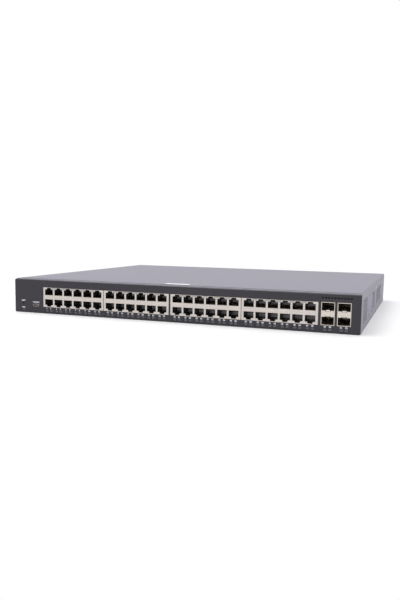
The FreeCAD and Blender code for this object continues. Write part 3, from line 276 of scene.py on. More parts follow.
FAN_BLACK = coated("fan_black", (0.018, 0.018, 0.02), 0.08, 1400.0, (0.35, 0.5), 0.12)
INLET_BLACK = coated("inlet_black", (0.02, 0.02, 0.021), 0.06, 1200.0, (0.28, 0.4), 0.08)
WIRE_RED = coated("wire_red", (0.32, 0.02, 0.02), 0.1, 600.0, (0.35, 0.45), 0.1)
FILM_CLEAR = coated("film_clear", (0.45, 0.45, 0.4), 0.05, 300.0, (0.15, 0.25), 0.05)
CAN_SLEEVE = coated("can_sleeve", (0.02, 0.025, 0.07), 0.06, 500.0, (0.2, 0.3), 0.05)
WOUND_TAPE = coated("wound_tape", (0.5, 0.36, 0.06), 0.12, 400.0, (0.3, 0.45), 0.1)
BUTTON_PALE = coated("button_pale", (0.45, 0.45, 0.43), 0.05, 900.0, (0.3, 0.4), 0.05)


# Meshes and pieces

def shown(name, data):
    """Object for a mesh, curve, lamp or camera, in the scene."""
    obj = bpy.data.objects.new(name, data)
    bpy.context.scene.collection.objects.link(obj)
    return obj


def settled(obj, name):
    """Plain mesh of an object with its modifiers; the object is removed."""
    graph = bpy.context.evaluated_depsgraph_get()
    mesh = bpy.data.meshes.new_from_object(obj.evaluated_get(graph))
    mesh.name = name
    bpy.data.objects.remove(obj)
    return mesh


def from_bmesh(name, shape):
    """Mesh of a finished bmesh, which is freed."""
    mesh = bpy.data.meshes.new(name)
    shape.to_mesh(mesh)
    shape.free()
    return mesh


def eased(mesh):
    """Smooth shading that keeps flat sheets flat and corners crisp."""
    mesh.shade_smooth()
    mesh.set_sharp_from_angle(angle=CREASE)
    obj = shown(mesh.name, mesh)
    weights = obj.modifiers.new("weights", "WEIGHTED_NORMAL")
    weights.keep_sharp = True
    weights.weight = 100
    return settled(obj, mesh.name)


def piece(name, mesh, material, body=CASE, stands_for=()):
    """Finished piece that rides on a body."""
    mesh.materials.clear()
    mesh.materials.append(material)
    obj = shown(name, mesh)
    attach(obj, body)
    if stands_for:
        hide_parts(*stands_for)
    return obj


def merged(name, meshes):
    """One mesh from several."""
    shape = bmesh.new()
    for mesh in meshes:
        shape.from_mesh(mesh)
    return from_bmesh(name, shape)


WELD = 0.001 * MM


def softened(node, width, segments=2):
    """Copy of a CAD node with its sharp edges broken by a small round."""
    shape = bmesh.new()
    shape.from_mesh(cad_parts[node].data)
    bmesh.ops.remove_doubles(shape, verts=shape.verts, dist=WELD)
    bmesh.ops.dissolve_limit(shape, angle_limit=FLAT, verts=shape.verts, edges=shape.edges)
    sharp = [edge for edge in shape.edges if len(edge.link_faces) == 2 and edge.calc_face_angle(0) > CREASE]
    bmesh.ops.bevel(shape, geom=sharp, offset=width, offset_type="OFFSET", segments=segments, profile=0.5,
                    affect="EDGES", clamp_overlap=True)
    bmesh.ops.recalc_face_normals(shape, faces=shape.faces)
    return eased(from_bmesh(node, shape))


def dressed(node, material, width, body=CASE):
    """Piece that stands for a CAD node, with softened edges."""
    return piece(f"{node}_finish", softened(node, width), material, body, [node])


def painted(material, *nodes):
    """Give CAD nodes their finish."""
    for node in nodes:
        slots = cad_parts[node].data.materials
        slots.clear()
        slots.append(material)


def outline_plate(name, points, thickness, place):
    """Flat plate from an outline in X and Z; its front face looks to -Y and lies at the place."""
    shape = bmesh.new()
    face = shape.faces.new([shape.verts.new((x, 0, z)) for x, z in points])
    swept = bmesh.ops.extrude_face_region(shape, geom=[face])
    bmesh.ops.translate(shape, vec=BACK * thickness,
                        verts=[item for item in swept["geom"] if isinstance(item, bmesh.types.BMVert)])
    bmesh.ops.recalc_face_normals(shape, faces=shape.faces)
    bmesh.ops.translate(shape, vec=place, verts=shape.verts)
    return from_bmesh(name, shape)


def turned(profile, sides):
    """Solid turned about Z from a profile of radius and height that starts and ends on the axis."""
    shape = bmesh.new()
    rings = []
    for radius, height in profile:
        if radius == 0:
            rings.append([shape.verts.new((0, 0, height))])
            continue
        angles = [2 * math.pi * step / sides for step in range(sides)]
        rings.append([shape.verts.new((radius * math.cos(a), radius * math.sin(a), height)) for a in angles])
    for lower, upper in zip(rings, rings[1:]):
        for step in range(sides):
            after = (step + 1) % sides
            corners = [lower[step % len(lower)], lower[after % len(lower)],
                       upper[after % len(upper)], upper[step % len(upper)]]
            shape.faces.new(list(dict.fromkeys(corners)))
    bmesh.ops.recalc_face_normals(shape, faces=shape.faces)
    return shape


def carved(name, base, *cutters):
    """Base mesh less the cutter meshes."""
    obj = shown(name, base)
    tools = [shown(f"{name}_tool", cutter) for cutter in cutters]
    for tool in tools:
        cut = obj.modifiers.new("cut", "BOOLEAN")
        cut.operation = "DIFFERENCE"
        cut.solver = "MANIFOLD"
        cut.object = tool
    mesh = settled(obj, name)
    for tool in tools:
        bpy.data.objects.remove(tool)
    return mesh


def slab(low, high):
    """Closed box between two corners."""
    shape = bmesh.new()
    bmesh.ops.create_cube(shape, size=1)
    bmesh.ops.scale(shape, vec=high - low, verts=shape.verts)
    bmesh.ops.translate(shape, vec=middle(low, high), verts=shape.verts)
    return shape


# Repeats

def rows_tree():
    """Node tree that repeats one piece in columns and rows."""
    tree = bpy.data.node_groups.new("rows_of_pieces", "GeometryNodeTree")
    tree.interface.new_socket("Geometry", in_out="OUTPUT", socket_type="NodeSocketGeometry")
    inputs = [("Piece", "Object"), ("Columns", "Int"), ("Rows", "Int"), ("Start", "Vector"),
              ("Step", "Vector"), ("Rise", "Vector"), ("Stagger", "Vector"), ("Finish", "Material")]
    for label, kind in inputs:
        tree.interface.new_socket(label, in_out="INPUT", socket_type=f"NodeSocket{kind}")
    wiring = Wiring(tree)
    entry = wiring.add("NodeGroupInput").outputs
    leave = wiring.add("NodeGroupOutput")

    def whole(operation, first, second):
        """One sum on two whole numbers."""
        node = wiring.add("FunctionNodeIntegerMath", operation=operation)
        wiring.feed(node.inputs[0], first)
        wiring.feed(node.inputs[1], second)
        return node.outputs[0]

    def scaled(vector, factor):
        """Vector times a number."""
        node = wiring.add("ShaderNodeVectorMath", operation="SCALE")
        wiring.join(vector, node.inputs[0])
        wiring.join(factor, node.inputs["Scale"])
        return node.outputs[0]

    def added(first, second):
        """Sum of two vectors."""
        node = wiring.add("ShaderNodeVectorMath", operation="ADD")
        wiring.join(first, node.inputs[0])
        wiring.join(second, node.inputs[1])
        return node.outputs[0]

    index = wiring.add("GeometryNodeInputIndex").outputs[0]
    row = whole("DIVIDE_FLOOR", index, entry["Columns"])
    column = whole("MODULO", index, entry["Columns"])
    place = added(entry["Start"], scaled(entry["Step"], column))
    place = added(place, scaled(entry["Rise"], row))
    place = added(place, scaled(entry["Stagger"], whole("MODULO", row, 2)))
    points = wiring.add("GeometryNodePoints")
    wiring.join(whole("MULTIPLY", entry["Columns"], entry["Rows"]), points.inputs["Count"])
    wiring.join(place, points.inputs["Position"])
    source = wiring.add("GeometryNodeObjectInfo")
    wiring.join(entry["Piece"], source.inputs["Object"])
    copies = wiring.add("GeometryNodeInstanceOnPoints")
    wiring.join(points.outputs[0], copies.inputs["Points"])
    wiring.join(source.outputs["Geometry"], copies.inputs["Instance"])
    real = wiring.add("GeometryNodeRealizeInstances")
    wiring.join(copies.outputs[0], real.inputs[0])
    coat = wiring.add("GeometryNodeSetMaterial")
    wiring.join(real.outputs[0], coat.inputs["Geometry"])
    wiring.join(entry["Finish"], coat.inputs["Material"])
    wiring.join(coat.outputs[0], leave.inputs[0])
    return tree


ROWS = rows_tree()


def rows_of(name, template, finish_with, start, columns, step, rows=1, rise=NOWHERE, stagger=NOWHERE):
    """Mesh of a template repeated in columns and rows."""
    source = shown(f"{name}_template", template)
    carrier = shown(name, bpy.data.meshes.new(name))
    modifier = carrier.modifiers.new("rows", "NODES")
    modifier.node_group = ROWS
    values = {"Piece": source, "Columns": columns, "Rows": rows, "Start": start, "Step": step, "Rise": rise,
              "Stagger": stagger, "Finish": finish_with}
    for item in ROWS.interface.items_tree:
        if item.in_out == "INPUT":
            modifier[item.identifier] = values[item.name]
    mesh = settled(carrier, name)
    bpy.data.objects.remove(source)
    return mesh


# Cover with its perforated sides

SHEET = 1.0 * MM
FOLD = 2.0 * MM
HOLE_RADIUS = 1.32 * MM
HOLE_SIDES = 10
HOLE_PITCH = 3.52 * MM
ROW_PITCH = 3.05 * MM
RACK_RADIUS = 2.1 * MM
RACK_SIDES = 24
# Length of a cutting rod as a share of the case's width
ROD_REACH = 1.02
EDGE_ROUND = 0.15 * MM
LEVEL_SLACK = 0.01 * MM
LIP_DEPTH = 2.5 * MM
LIP_DROP = 0.45 * MM
SEAM_BACK = 13.5 * MM
# Each field: first hole behind the front face, lowest row, holes in a row, rows
FIELDS = ((24.0, 9.8, 14, 9), (148.0, 13.0, 11, 7), (214.0, 13.0, 25, 7))
# Places behind the front face and levels of the rack ear holes
RACK_HOLES = (97.0, 139.0), (10.5, 34.5)
TRAY_EDGE = 0.25 * MM
BEZEL_EDGE = 0.1 * MM


def fold_arc(centre_x, centre_z, radius, side, steps=6):
    """Points of a fold from the side up to the top, on the right or, mirrored, on the left."""
    angles = [math.pi / 2 * step / steps for step in range(steps + 1)]
    return [(side * (centre_x + radius * math.cos(a)), centre_z + radius * math.sin(a)) for a in angles]


def cross_rod(radius, sides):
    """Rod along X that passes through both sides of the case."""
    length = ROD_REACH * (cover_high.x - cover_low.x)
    shape = bmesh.new()
    bmesh.ops.create_cone(shape, cap_ends=True, segments=sides, radius1=radius, radius2=radius, depth=length)
    bmesh.ops.rotate(shape, matrix=Matrix.Rotation(math.pi / 2, 3, "Y"), verts=shape.verts)
    return from_bmesh("cross_rod", shape)


def perforated_cover():
    """Folded sheet with a seam notch, a pressed lip, fine perforations and rack holes in both sides."""
    half = cover_high.x
    top = cover_high.z
    bend = half - FOLD
    level = top - FOLD
    outer = [(half, cover_low.z)] + fold_arc(bend, level, FOLD, 1)
    inner = [(half - SHEET, cover_low.z)] + fold_arc(bend, level, FOLD - SHEET, 1)
    profile = outer + [(-x, z) for x, z in reversed(outer)] + [(-x, z) for x, z in inner] + inner[::-1]
    start = Vector((0, cover_low.y, 0))
    blank = outline_plate("cover_blank", profile, cover_high.y - cover_low.y, start)
    inside = half - SHEET
    notch = slab(Vector((-inside, cover_low.y - MM, top - 2 * FOLD)),
                 Vector((inside, FACE + SEAM_BACK, top + MM)))
    lip = slab(Vector((-inside, -2 * LIP_DEPTH, 0)), Vector((inside, 0, FOLD)))
    bmesh.ops.rotate(lip, matrix=Matrix.Rotation(math.atan(LIP_DROP / LIP_DEPTH), 3, "X"), verts=lip.verts)
    bmesh.ops.translate(lip, vec=Vector((0, FACE + SEAM_BACK + LIP_DEPTH, top)), verts=lip.verts)
    cutters = [from_bmesh("seam_notch", notch), from_bmesh("pressed_lip", lip)]
    for along, low, columns, rows in FIELDS:
        first = Vector((0, FACE + along * MM, low * MM))
        cutters.append(rows_of("perforations", cross_rod(HOLE_RADIUS, HOLE_SIDES), CASE_PAINT, first, columns,
                               BACK * HOLE_PITCH, rows, UP * ROW_PITCH, BACK * HOLE_PITCH / 2))
    (first_along, last_along), (low, high) = RACK_HOLES
    cutters.append(rows_of("rack_holes", cross_rod(RACK_RADIUS, RACK_SIDES), CASE_PAINT,
                           Vector((0, FACE + first_along * MM, low * MM)), 2,
                           BACK * (last_along - first_along) * MM, 2, UP * (high - low) * MM))
    mesh = carved("cover_sheet", blank, *cutters)
    piece("cover_sheet", eased(broken_edge(mesh, top)), CASE_PAINT, stands_for=["top_cover"])


def broken_edge(mesh, top):
    """Sheet whose rear top edge is rounded off."""
    shape = bmesh.new()
    shape.from_mesh(mesh)
    bmesh.ops.dissolve_limit(shape, angle_limit=FLAT, verts=shape.verts, edges=shape.edges)
    edges = [edge for edge in shape.edges if edge.is_manifold and edge.calc_face_angle() > SQUARE
             and all(abs(vert.co.z - top) < LEVEL_SLACK for vert in edge.verts)]
    bmesh.ops.bevel(shape, geom=edges, offset=EDGE_ROUND, segments=3, profile=0.5, affect="EDGES")
    return from_bmesh("cover_sheet", shape)


perforated_cover()
dressed("chassis_base", CASE_PAINT, TRAY_EDGE)


def rimmed_bezel():
    """Dark front with a paler line on its bevelled top edge as a painted highlight, and a darker top behind
    it as painted shade.
    """
    bezel = dressed("front_bezel", BEZEL_COAT, BEZEL_EDGE)
    bezel.data.materials.append(BEZEL_HIGHLIGHT)
    bezel.data.materials.append(BEZEL_SHADE)
    # Front-facing faces of the top edge take the painted highlight, and the upward faces behind them take the
    # painted shade
    for face in bezel.data.polygons:
        if face.center.z < bezel_high.z - MM or face.normal.z < 0.5:
            continue
        face.material_index = 1 if face.normal.y < -0.5 else 2


rimmed_bezel()


# Port blocks

SHELL_EDGE = 0.12 * MM


def first_column(index):
    """Middle of a block's first column of ports, and the shell's front face."""
    low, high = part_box(f"jack_shield_{index}")
    return (low.x + high.x) / 2 - COLUMN_PITCH * (COLUMNS - 1) / 2, low.y


def port_blocks():
    """Plated shells, black cores, sprung tabs and gold contacts of the four blocks."""
    for index in BLOCKS:
        dressed(f"jack_shield_{index}", NICKEL, SHELL_EDGE)
        painted(PORT_BLACK, f"jack_housing_{index}")
        first, face = first_column(index)
        port_contacts(index, first, face)
        contact_carriers(index, first, face)
        sprung_tabs(index, first, face)


CONTACT_COUNT = 8
CONTACT_PITCH = 1.02 * MM
CONTACT_HALF = 0.23
CONTACT_GAUGE = 0.3 * MM
# Distance behind the shield's face and height off the cavity's floor
CONTACT_BENDS = ((5.0, 0.1), (6.0, 0.35), (11.2, 3.0), (12.6, 2.9), (14.0, 2.3))
UPPER_FLOOR = 23.8 * MM
LOWER_CEILING = 18.5 * MM
# Share of that height by which the lower row's contacts hang off their ceiling
LOWER_SHARE = 0.5


def bent_strip(name, bends, lift):
    """Strip along bends of distance to the rear, height and half width; the lift gives its gauge."""
    shape = bmesh.new()
    loops = []
    for along, height, half_width in bends:
        point = Vector((0, along * MM, height * MM))
        half = RIGHT * half_width * MM
        loops.append([shape.verts.new(point + offset) for offset in (-half, half, half + lift, lift - half)])
    for near, far in zip(loops, loops[1:]):
        for corner in range(4):
            after = (corner + 1) % 4
            shape.faces.new((near[corner], near[after], far[after], far[corner]))
    shape.faces.new(loops[0])
    shape.faces.new(loops[-1])
    bmesh.ops.recalc_face_normals(shape, faces=shape.faces)
    return from_bmesh(name, shape)


def port_contacts(index, first, face):
    """Contacts of one block's ports, which slope off the upper row's floors and the lower row's ceilings."""
    start = first - CONTACT_PITCH * (CONTACT_COUNT - 1) / 2
    rows = []
    for side, level, share in ((1, UPPER_FLOOR, 1.0), (-1, LOWER_CEILING, LOWER_SHARE)):
        bends = [(along, side * share * off, CONTACT_HALF) for along, off in CONTACT_BENDS]
        spring = bent_strip("contact_spring", bends, UP * CONTACT_GAUGE * side)
        rows.append(rows_of("contacts", spring, GOLD, Vector((start, face, level)), COLUMNS,
                            RIGHT * COLUMN_PITCH, CONTACT_COUNT, RIGHT * CONTACT_PITCH))
    piece(f"port_contacts_{index}", merged("port_contacts", rows), GOLD)


CAVITY_BACK = 14.9 * MM
CARRIER_HALF = 5.5 * MM
# Faces of a carrier, from the cavity's back
CARRIER_FRONT = -0.4 * MM
CARRIER_BACK = -0.02 * MM
# Lowest and highest edge of the carriers in the upper and the lower row
CARRIER_ROWS = ((25.6, 29.6), (12.0, 15.6))


def contact_carriers(index, first, face):
    """Grey inserts at the inner ends of one block's ports, clear of the contacts; their grey is a painted
    reflection on the back walls.
    """
    rows = []
    for low, high in CARRIER_ROWS:
        insert = slab(Vector((-CARRIER_HALF, CARRIER_FRONT, low * MM)),
                      Vector((CARRIER_HALF, CARRIER_BACK, high * MM)))
        start = Vector((first, face + CAVITY_BACK, 0))
        rows.append(rows_of("carriers", from_bmesh("carrier", insert), TONGUE_AND_REFLECTION_GREY, start, COLUMNS,
                            RIGHT * COLUMN_PITCH))
    piece(f"contact_carriers_{index}", merged("contact_carriers", rows), TONGUE_AND_REFLECTION_GREY)


TAB_GAUGE = 0.2 * MM
TAB_LEVEL = 31.5 * MM
# Distance behind the shield's face, height over the tab's foot and half width
TAB_BENDS = ((0.3, -0.1, 3.0), (0.05, 0.1, 3.0), (-0.1, 0.55, 3.05), (-0.14, 1.05, 3.2), (-0.1, 1.5, 3.5),
             (0.05, 1.9, 3.8), (0.3, 2.1, 3.85))


def sprung_tabs(index, first, face):
    """Flared tabs between the latch steps of the upper row, bowed out of the shell; their darker steel is
    partly painted shade.
    """
    tab = bent_strip("sprung_tab", TAB_BENDS, BACK * -TAB_GAUGE)
    start = Vector((first + COLUMN_PITCH / 2, face, TAB_LEVEL))
    tabs = rows_of("sprung_tabs", tab, SPRING_STEEL_SHADED, start, COLUMNS - 1, RIGHT * COLUMN_PITCH)
    piece(f"sprung_tabs_{index}", tabs, SPRING_STEEL_SHADED)


# Levels of the strip of painted shadow, its front behind the bezel's face and its seat in the shell
SHADOW_FOOT = 33.65 * MM
SHADOW_TOP = 34.08 * MM
SHADOW_FRONT = 0.3 * MM
SHADOW_SEAT = 0.02 * MM
SHADOW_ROUND = 0.06 * MM


def window_seals():
    """Dark strips of painted shadow along the gap between the shells and the upper edge of their windows."""
    strips = []
    for index in BLOCKS:
        low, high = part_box(f"jack_shield_{index}")
        strip = slab(Vector((low.x, FACE + SHADOW_FRONT, SHADOW_FOOT)),
                     Vector((high.x, low.y + SHADOW_SEAT, SHADOW_TOP)))
        front = [edge for edge in strip.edges if all(vert.co.y < low.y - SHADOW_SEAT for vert in edge.verts)]
        bmesh.ops.bevel(strip, geom=front, offset=SHADOW_ROUND, segments=3, profile=0.5, affect="EDGES")
        strips.append(from_bmesh("seal_strip", strip))
    piece("window_seals", merged("window_seals", strips), SHADOW_BLACK)


port_blocks()
window_seals()


# Optical cages

CAGE_WALL = 0.75 * MM
CAGE_BAND = 6.8 * MM
CAGE_RIM = 0.4 * MM
CAGE_END = 1.0 * MM
TONGUE_HALF = 2.1
TONGUE_GAUGE = 0.2 * MM
# Distance behind the cage's rim and rise out of the latch notch
TONGUE_BENDS = ((0.35, -0.35), (0.75, 0.1), (1.35, 0.8), (2.0, 1.0), (5.0, 0.5))
# Radius and height of a pressed dimple
DIMPLE_ROUND = ((0, -0.02), (0.5, -0.02), (0.46, 0.12), (0.3, 0.28), (0, 0.34))
DIMPLE_SIDES = 10
DIMPLE_COLUMNS = 4
DIMPLE_STEP = 2.6 * MM
DIMPLE_ROW_STEP = 5.2 * MM
# First row behind the cage's rim and number of rows, on the upper and on the lower slot's floor
DIMPLE_ROWS = ((8.0, 6), (13.0, 3))


def cage_fittings(index):
    """Darker steel inside as painted shade, sprung latch tongues and rows of pressed dimples of one cage."""
    cage = dressed(f"sfp_cage_{index}", CAGE_STEEL, SHELL_EDGE)
    low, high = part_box(f"sfp_cage_{index}")
    centre = middle(low, high)
    cage.data.materials.append(CAGE_SHADE)
    # Faces inside the cage, behind its rim and clear of its walls, take the darker steel as painted shade
    for face in cage.data.polygons:
        spot = face.center
        across = high.x - CAGE_WALL / 2 > spot.x > low.x + CAGE_WALL / 2
        upright = high.z - CAGE_WALL / 2 > spot.z > low.z + CAGE_WALL / 2
        if across and upright and high.y - CAGE_END > spot.y > low.y + CAGE_RIM:
            face.material_index = 1
    fittings = []
    for side in (1, -1):
        bends = [(along, side * off, TONGUE_HALF) for along, off in TONGUE_BENDS]
        tongue = bent_strip("latch_tongue", bends, UP * TONGUE_GAUGE * -side)
        tongue.transform(Matrix.Translation((centre.x, low.y, centre.z + side * CAGE_BAND / 2)))
        fittings.append(tongue)
    profile = [(radius * MM, height * MM) for radius, height in DIMPLE_ROUND]
    dimple = from_bmesh("dimple", turned(profile, DIMPLE_SIDES))
    left = centre.x - (DIMPLE_COLUMNS - 0.5) / 2 * DIMPLE_STEP
    for floor, (first, rows) in zip((centre.z + CAGE_BAND / 2, low.z + CAGE_WALL), DIMPLE_ROWS):
        start = Vector((left, low.y + first * MM, floor))
        fittings.append(rows_of("dimples", dimple.copy(), NICKEL, start, DIMPLE_COLUMNS, RIGHT * DIMPLE_STEP,
                                rows, BACK * DIMPLE_ROW_STEP, RIGHT * DIMPLE_STEP / 2))
    piece(f"cage_fittings_{index}", eased(merged("cage_fittings", fittings)), NICKEL)
    painted(CARD_BROWN, f"sfp_connector_{index}")


for index in CAGES:
    cage_fittings(index)

# Lamps, console socket and reset button
SOCKET_EDGE = 0.08 * MM
painted(LAMP_GREY, *[f"light_pipe_{index}" for index in BLOCKS], "light_pipe_sfp", "light_pipe_status")
dressed("console_shell", NICKEL, SOCKET_EDGE)
painted(TONGUE_AND_REFLECTION_GREY, "console_tongue")
painted(CHIP_BLACK, "reset_switch")
painted(BUTTON_PALE, "reset_button")

# Inside the case
painted(BOARD_GREEN, "main_board", "power_board")
painted(POST_BRASS, "board_standoffs", "inlet_pins")
painted(CHIP_BLACK, "switch_chip", "phy_chips", "memory_chips", "fan_header", "dc_headers")
painted(FIN_ALUMINIUM, "switch_heat_sink", "phy_heat_sinks", "power_heat_sinks")
painted(WIRE_RED, "fan_lead", "dc_ribbon")
painted(FILM_CLEAR, "insulator_sheet")
painted(CAN_SLEEVE, "bulk_capacitor")
painted(WOUND_TAPE, "transformer")
painted(CHIP_BLACK, "filter_choke")

# Rear
INLET_EDGE = 0.4 * MM
FRAME_EDGE = 0.3 * MM
BLADE_EDGE = 0.2 * MM
dressed("mains_inlet", INLET_BLACK, INLET_EDGE)
dressed("fan_frame", FAN_BLACK, FRAME_EDGE)
dressed("fan_rotor", FAN_BLACK, BLADE_EDGE, FAN)


# Outline of a screw's head and its recess, as shares of the head's radius and height
HEAD_ROUND = ((0, -0.2), (1, -0.2), (1, 0.45), (0.86, 0.8), (0.5, 1), (0, 1))
HEAD_SIDES = 16
RECESS_REACH = 0.6
RECESS_HALF = 0.13
RECESS_FLOOR = 0.45


def pan_screw(radius, height):
    """Pan head with a cross recess; it stands on Z = 0 and looks to +Z."""
    profile = [(across * radius, up * height) for across, up in HEAD_ROUND]
    head = from_bmesh("screw_head", turned(profile, HEAD_SIDES))
    reach = RECESS_REACH * radius
    half = RECESS_HALF * radius
    bars = []
    for along, across in ((reach, half), (half, reach)):
        bar = slab(Vector((-along, -across, RECESS_FLOOR * height)), Vector((along, across, 2 * height)))
        bars.append(from_bmesh("recess", bar))
    return carved("screw", head, *bars)


# Radius and height of each kind of head
FAN_HEAD = 2.6 * MM, 1.5 * MM
INLET_HEAD = 2.6 * MM, 1.4 * MM
COVER_HEAD = 2.4 * MM, 0.7 * MM
FAN_SPACING = 32.0 * MM
INLET_SPACING = 40.0 * MM
# Distances of the cover screws behind the front face
COVER_SCREWS = 200.5, 319.5
COVER_SCREW_LEVEL = 34.5 * MM


def screws():
    """Pan heads that hold the fan and the inlet on the rear wall, and flat ones in the cover's sides."""
    face_rear = Matrix.Rotation(-math.pi / 2, 4, "X")
    fan_screw = pan_screw(*FAN_HEAD)
    fan_screw.transform(face_rear)
    centre = middle(fan_low, fan_high)
    corner = Vector((centre.x - FAN_SPACING / 2, REAR_WALL, centre.z - FAN_SPACING / 2))
    fan_set = rows_of("fan_screws", fan_screw, SCREW_ZINC, corner, 2, RIGHT * FAN_SPACING,
                      2, UP * FAN_SPACING)
    inlet_screw = pan_screw(*INLET_HEAD)
    inlet_screw.transform(face_rear)
    centre = middle(inlet_low, inlet_high)
    start = Vector((centre.x - INLET_SPACING / 2, inlet_high.y, centre.z))
    inlet_set = rows_of("inlet_screws", inlet_screw, SCREW_ZINC, start, 2, RIGHT * INLET_SPACING)
    piece("rear_screws", eased(merged("rear_screws", [fan_set, inlet_set])), SCREW_ZINC)
    sides = []
    first, last = COVER_SCREWS
    for side in (1, -1):
        cover_screw = pan_screw(*COVER_HEAD)
        cover_screw.transform(Matrix.Rotation(side * math.pi / 2, 4, "Y"))
        start = Vector((side * cover_high.x, FACE + first * MM, COVER_SCREW_LEVEL))
        sides.append(rows_of("cover_screws", cover_screw, SCREW_ZINC, start, 2, BACK * (last - first) * MM))
    piece("cover_screws", eased(merged("cover_screws", sides)), SCREW_ZINC)


screws()


# Print and label

# Share of the letters' size that a capital takes up
CAPITAL = 0.7
PRINT_RISE = 0.01 * MM


def lettering(text, height, weight, place):
    """Raised print on the front, centred on a place."""
    curve = bpy.data.curves.new("print", "FONT")
    curve.body = text
    curve.size = height / CAPITAL
    curve.align_x = "CENTER"
    curve.align_y = "CENTER"
    curve.extrude = PRINT_RISE
    curve.offset = weight
    curve.resolution_u = 2
    mesh = settled(shown("print", curve), "print")
    mesh.transform(Matrix.Translation(place) @ Matrix.Rotation(math.pi / 2, 4, "X"))
    return mesh


NUMBER_HEIGHT = 1.8 * MM
NUMBER_WEIGHT = 0.075 * MM
NUMBER_LEVEL = 6.7 * MM
LAMP_SHIFT = 2.8 * MM
WORD_HEIGHT = 1.5 * MM
WORD_WEIGHT = 0.07 * MM
# Each word and the place of its middle along the front and above the underside
WORDS = (("CONSOLE", -188.0, 13.9), ("RESET", -206.8, 15.4), ("PWR", -206.9, 6.5))


def front_print():
    """Port numbers over the lamps and plain words by the small openings."""
    columns = []
    for index in BLOCKS:
        first, _ = first_column(index)
        columns += [first + COLUMN_PITCH * column for column in range(COLUMNS)]
    columns += [middle(*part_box(f"sfp_cage_{index}")).x for index in CAGES]
    lamps = [column + shift for column in columns for shift in (-LAMP_SHIFT, LAMP_SHIFT)]
    prints = []
    for number, x in enumerate(lamps, start=1):
        prints.append(lettering(str(number), NUMBER_HEIGHT, NUMBER_WEIGHT, Vector((x, FACE, NUMBER_LEVEL))))
    for text, x, z in WORDS:
        prints.append(lettering(text, WORD_HEIGHT, WORD_WEIGHT, Vector((x * MM, FACE, z * MM))))
    piece("front_print", merged("front_print", prints), PRINT_WHITE)


LABEL_LEFT = -14.6 * MM
LABEL_RIGHT = 15.9 * MM
LABEL_FRONT = 14.6 * MM
LABEL_BACK = 25.0 * MM
LABEL_GAUGE = 0.12 * MM
LABEL_CORNER = 1.0 * MM


def blank_label():
    """White blank label on the cover by the seam."""
    low = Vector((LABEL_LEFT, FACE + LABEL_FRONT, cover_high.z))
    high = Vector((LABEL_RIGHT, FACE + LABEL_BACK, cover_high.z + LABEL_GAUGE))
    shape = slab(low, high)
    upright = [edge for edge in shape.edges
               if abs(edge.verts[0].co.z - edge.verts[1].co.z) > LABEL_GAUGE / 2]
    bmesh.ops.bevel(shape, geom=upright, offset=LABEL_CORNER, segments=4, profile=0.5, affect="EDGES")
    piece("blank_label", from_bmesh("blank_label", shape), LABEL_WHITE)


front_print()
blank_label()


# Stage, light and camera

FLOOR_HALF = 6.0
FLOOR_LIFT = 0.1
# Distances from the floor's middle between which it fades out
FADE_START = 0.36
FADE_END = 0.75
# Strength of the white surround as light, and as it is seen or mirrored
SURROUND_LIGHT = 0.7
SURROUND_SEEN = 1.0
# Each lamp: place, aim, size and power
LAMPS = {
    "overhead": ((-0.6, -0.15, 1.5), (0, 0, 0), (1.4, 1.1), 12),
    "front_left": ((-0.9, -1.5, 0.8), (0, -0.1, 0.02), (0.9, 0.7), 1.6),
    "front_low": ((0.35, -1.9, 0.3), (0.05, -0.15, 0.02), (0.5, 0.4), 0.8),
    "right_edge": ((1.5, -0.2, 0.9), (0.2, 0, 0.02), (0.6, 0.8), 5.5),
}


def floor_finish():
    """Pale matt floor that keeps the object's shadow and fades into the white surround."""
    material = coated("pale_floor", (0.9, 0.9, 0.91), 0.01, 200.0, (0.6, 0.7), 0.0)
    nodes = material.node_tree.nodes
    wiring = Wiring(material.node_tree)
    shader = nodes["Principled BSDF"]
    seen = wiring.add("ShaderNodeLightPath").outputs["Is Camera Ray"]
    shader.inputs["Emission Color"].default_value = (1, 1, 1, 1)
    wiring.join(wiring.math("MULTIPLY", seen, FLOOR_LIFT), shader.inputs["Emission Strength"])
    reach = wiring.add("ShaderNodeVectorMath", operation="LENGTH")
    wiring.join(wiring.add("ShaderNodeTexCoord").outputs["Object"], reach.inputs[0])
    fade = wiring.add("ShaderNodeMapRange", interpolation_type="SMOOTHSTEP")
    wiring.join(reach.outputs["Value"], fade.inputs["Value"])
    fade.inputs["From Min"].default_value = FADE_START
    fade.inputs["From Max"].default_value = FADE_END
    blend = wiring.add("ShaderNodeMixShader")
    wiring.join(fade.outputs["Result"], blend.inputs[0])
    wiring.join(shader.outputs[0], blend.inputs[1])
    wiring.join(wiring.add("ShaderNodeBsdfTransparent").outputs[0], blend.inputs[2])
    wiring.join(blend.outputs[0], nodes["Material Output"].inputs["Surface"])
    return material


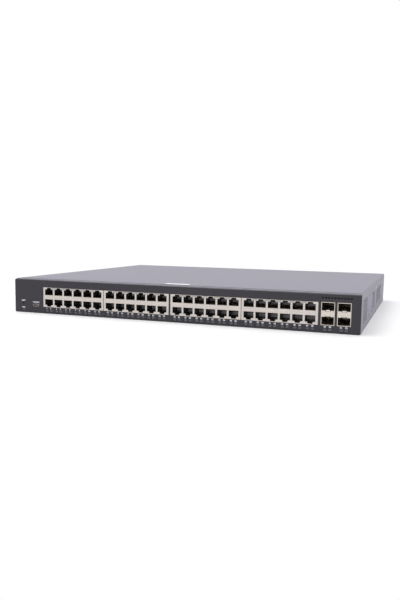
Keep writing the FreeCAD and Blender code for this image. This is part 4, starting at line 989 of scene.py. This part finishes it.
def stage():
    """Pale floor, white surround and soft lamps."""
    shape = bmesh.new()
    bmesh.ops.create_grid(shape, x_segments=1, y_segments=1, size=FLOOR_HALF)
    floor = shown("floor", from_bmesh("floor", shape))
    floor.data.materials.append(floor_finish())

    world = bpy.data.worlds.new("studio")
    world.use_nodes = True
    bpy.context.scene.world = world
    wiring = Wiring(world.node_tree)
    ground = world.node_tree.nodes["Background"]
    ground.inputs["Color"].default_value = (1, 1, 1, 1)
    rays = wiring.add("ShaderNodeLightPath").outputs
    seen = wiring.math("MAXIMUM", rays["Is Camera Ray"], rays["Is Glossy Ray"])
    seen = wiring.math("MAXIMUM", seen, rays["Is Transmission Ray"])
    wiring.join(wiring.spread(seen, SURROUND_LIGHT, SURROUND_SEEN), ground.inputs["Strength"])
    for name, (place, aim, size, power) in LAMPS.items():
        lamp = bpy.data.lights.new(name, "AREA")
        lamp.shape = "RECTANGLE"
        lamp.size, lamp.size_y = size
        lamp.energy = power
        holder = shown(name, lamp)
        holder.location = place
        holder.rotation_euler = (Vector(aim) - Vector(place)).to_track_quat("-Z", "Y").to_euler()


SENSOR_WIDTH = 36.0
LENS = 36.88
# Pan, tilt and roll in degrees; the place is in millimetres, from the middle of the front's lower edge
CAMERA_TURN = -19.97, -6.36, 0.888
CAMERA_PLACE = 280.1, -668.3, 107.8


def camera():
    """Camera at the photograph's viewing angle."""
    data = bpy.data.cameras.new("camera")
    data.sensor_width = SENSOR_WIDTH
    data.lens = LENS
    data.clip_start = 0.01
    data.clip_end = 50
    pan, tilt, roll = (math.radians(angle) for angle in CAMERA_TURN)
    ahead = Vector((math.sin(pan) * math.cos(tilt), math.cos(pan) * math.cos(tilt), math.sin(tilt)))
    side = Vector((math.cos(pan), -math.sin(pan), 0))
    above = side.cross(ahead)
    rolled_side = side * math.cos(roll) + above * math.sin(roll)
    rolled_above = above * math.cos(roll) - side * math.sin(roll)
    turn = Matrix((rolled_side, rolled_above, -ahead)).transposed()
    place = Vector(CAMERA_PLACE) * MM + BACK * FACE
    holder = shown("camera", data)
    holder.matrix_world = Matrix.Translation(place) @ turn.to_4x4()
    bpy.context.scene.camera = holder


stage()
camera()
bpy.context.scene.view_settings.view_transform = "Standard"
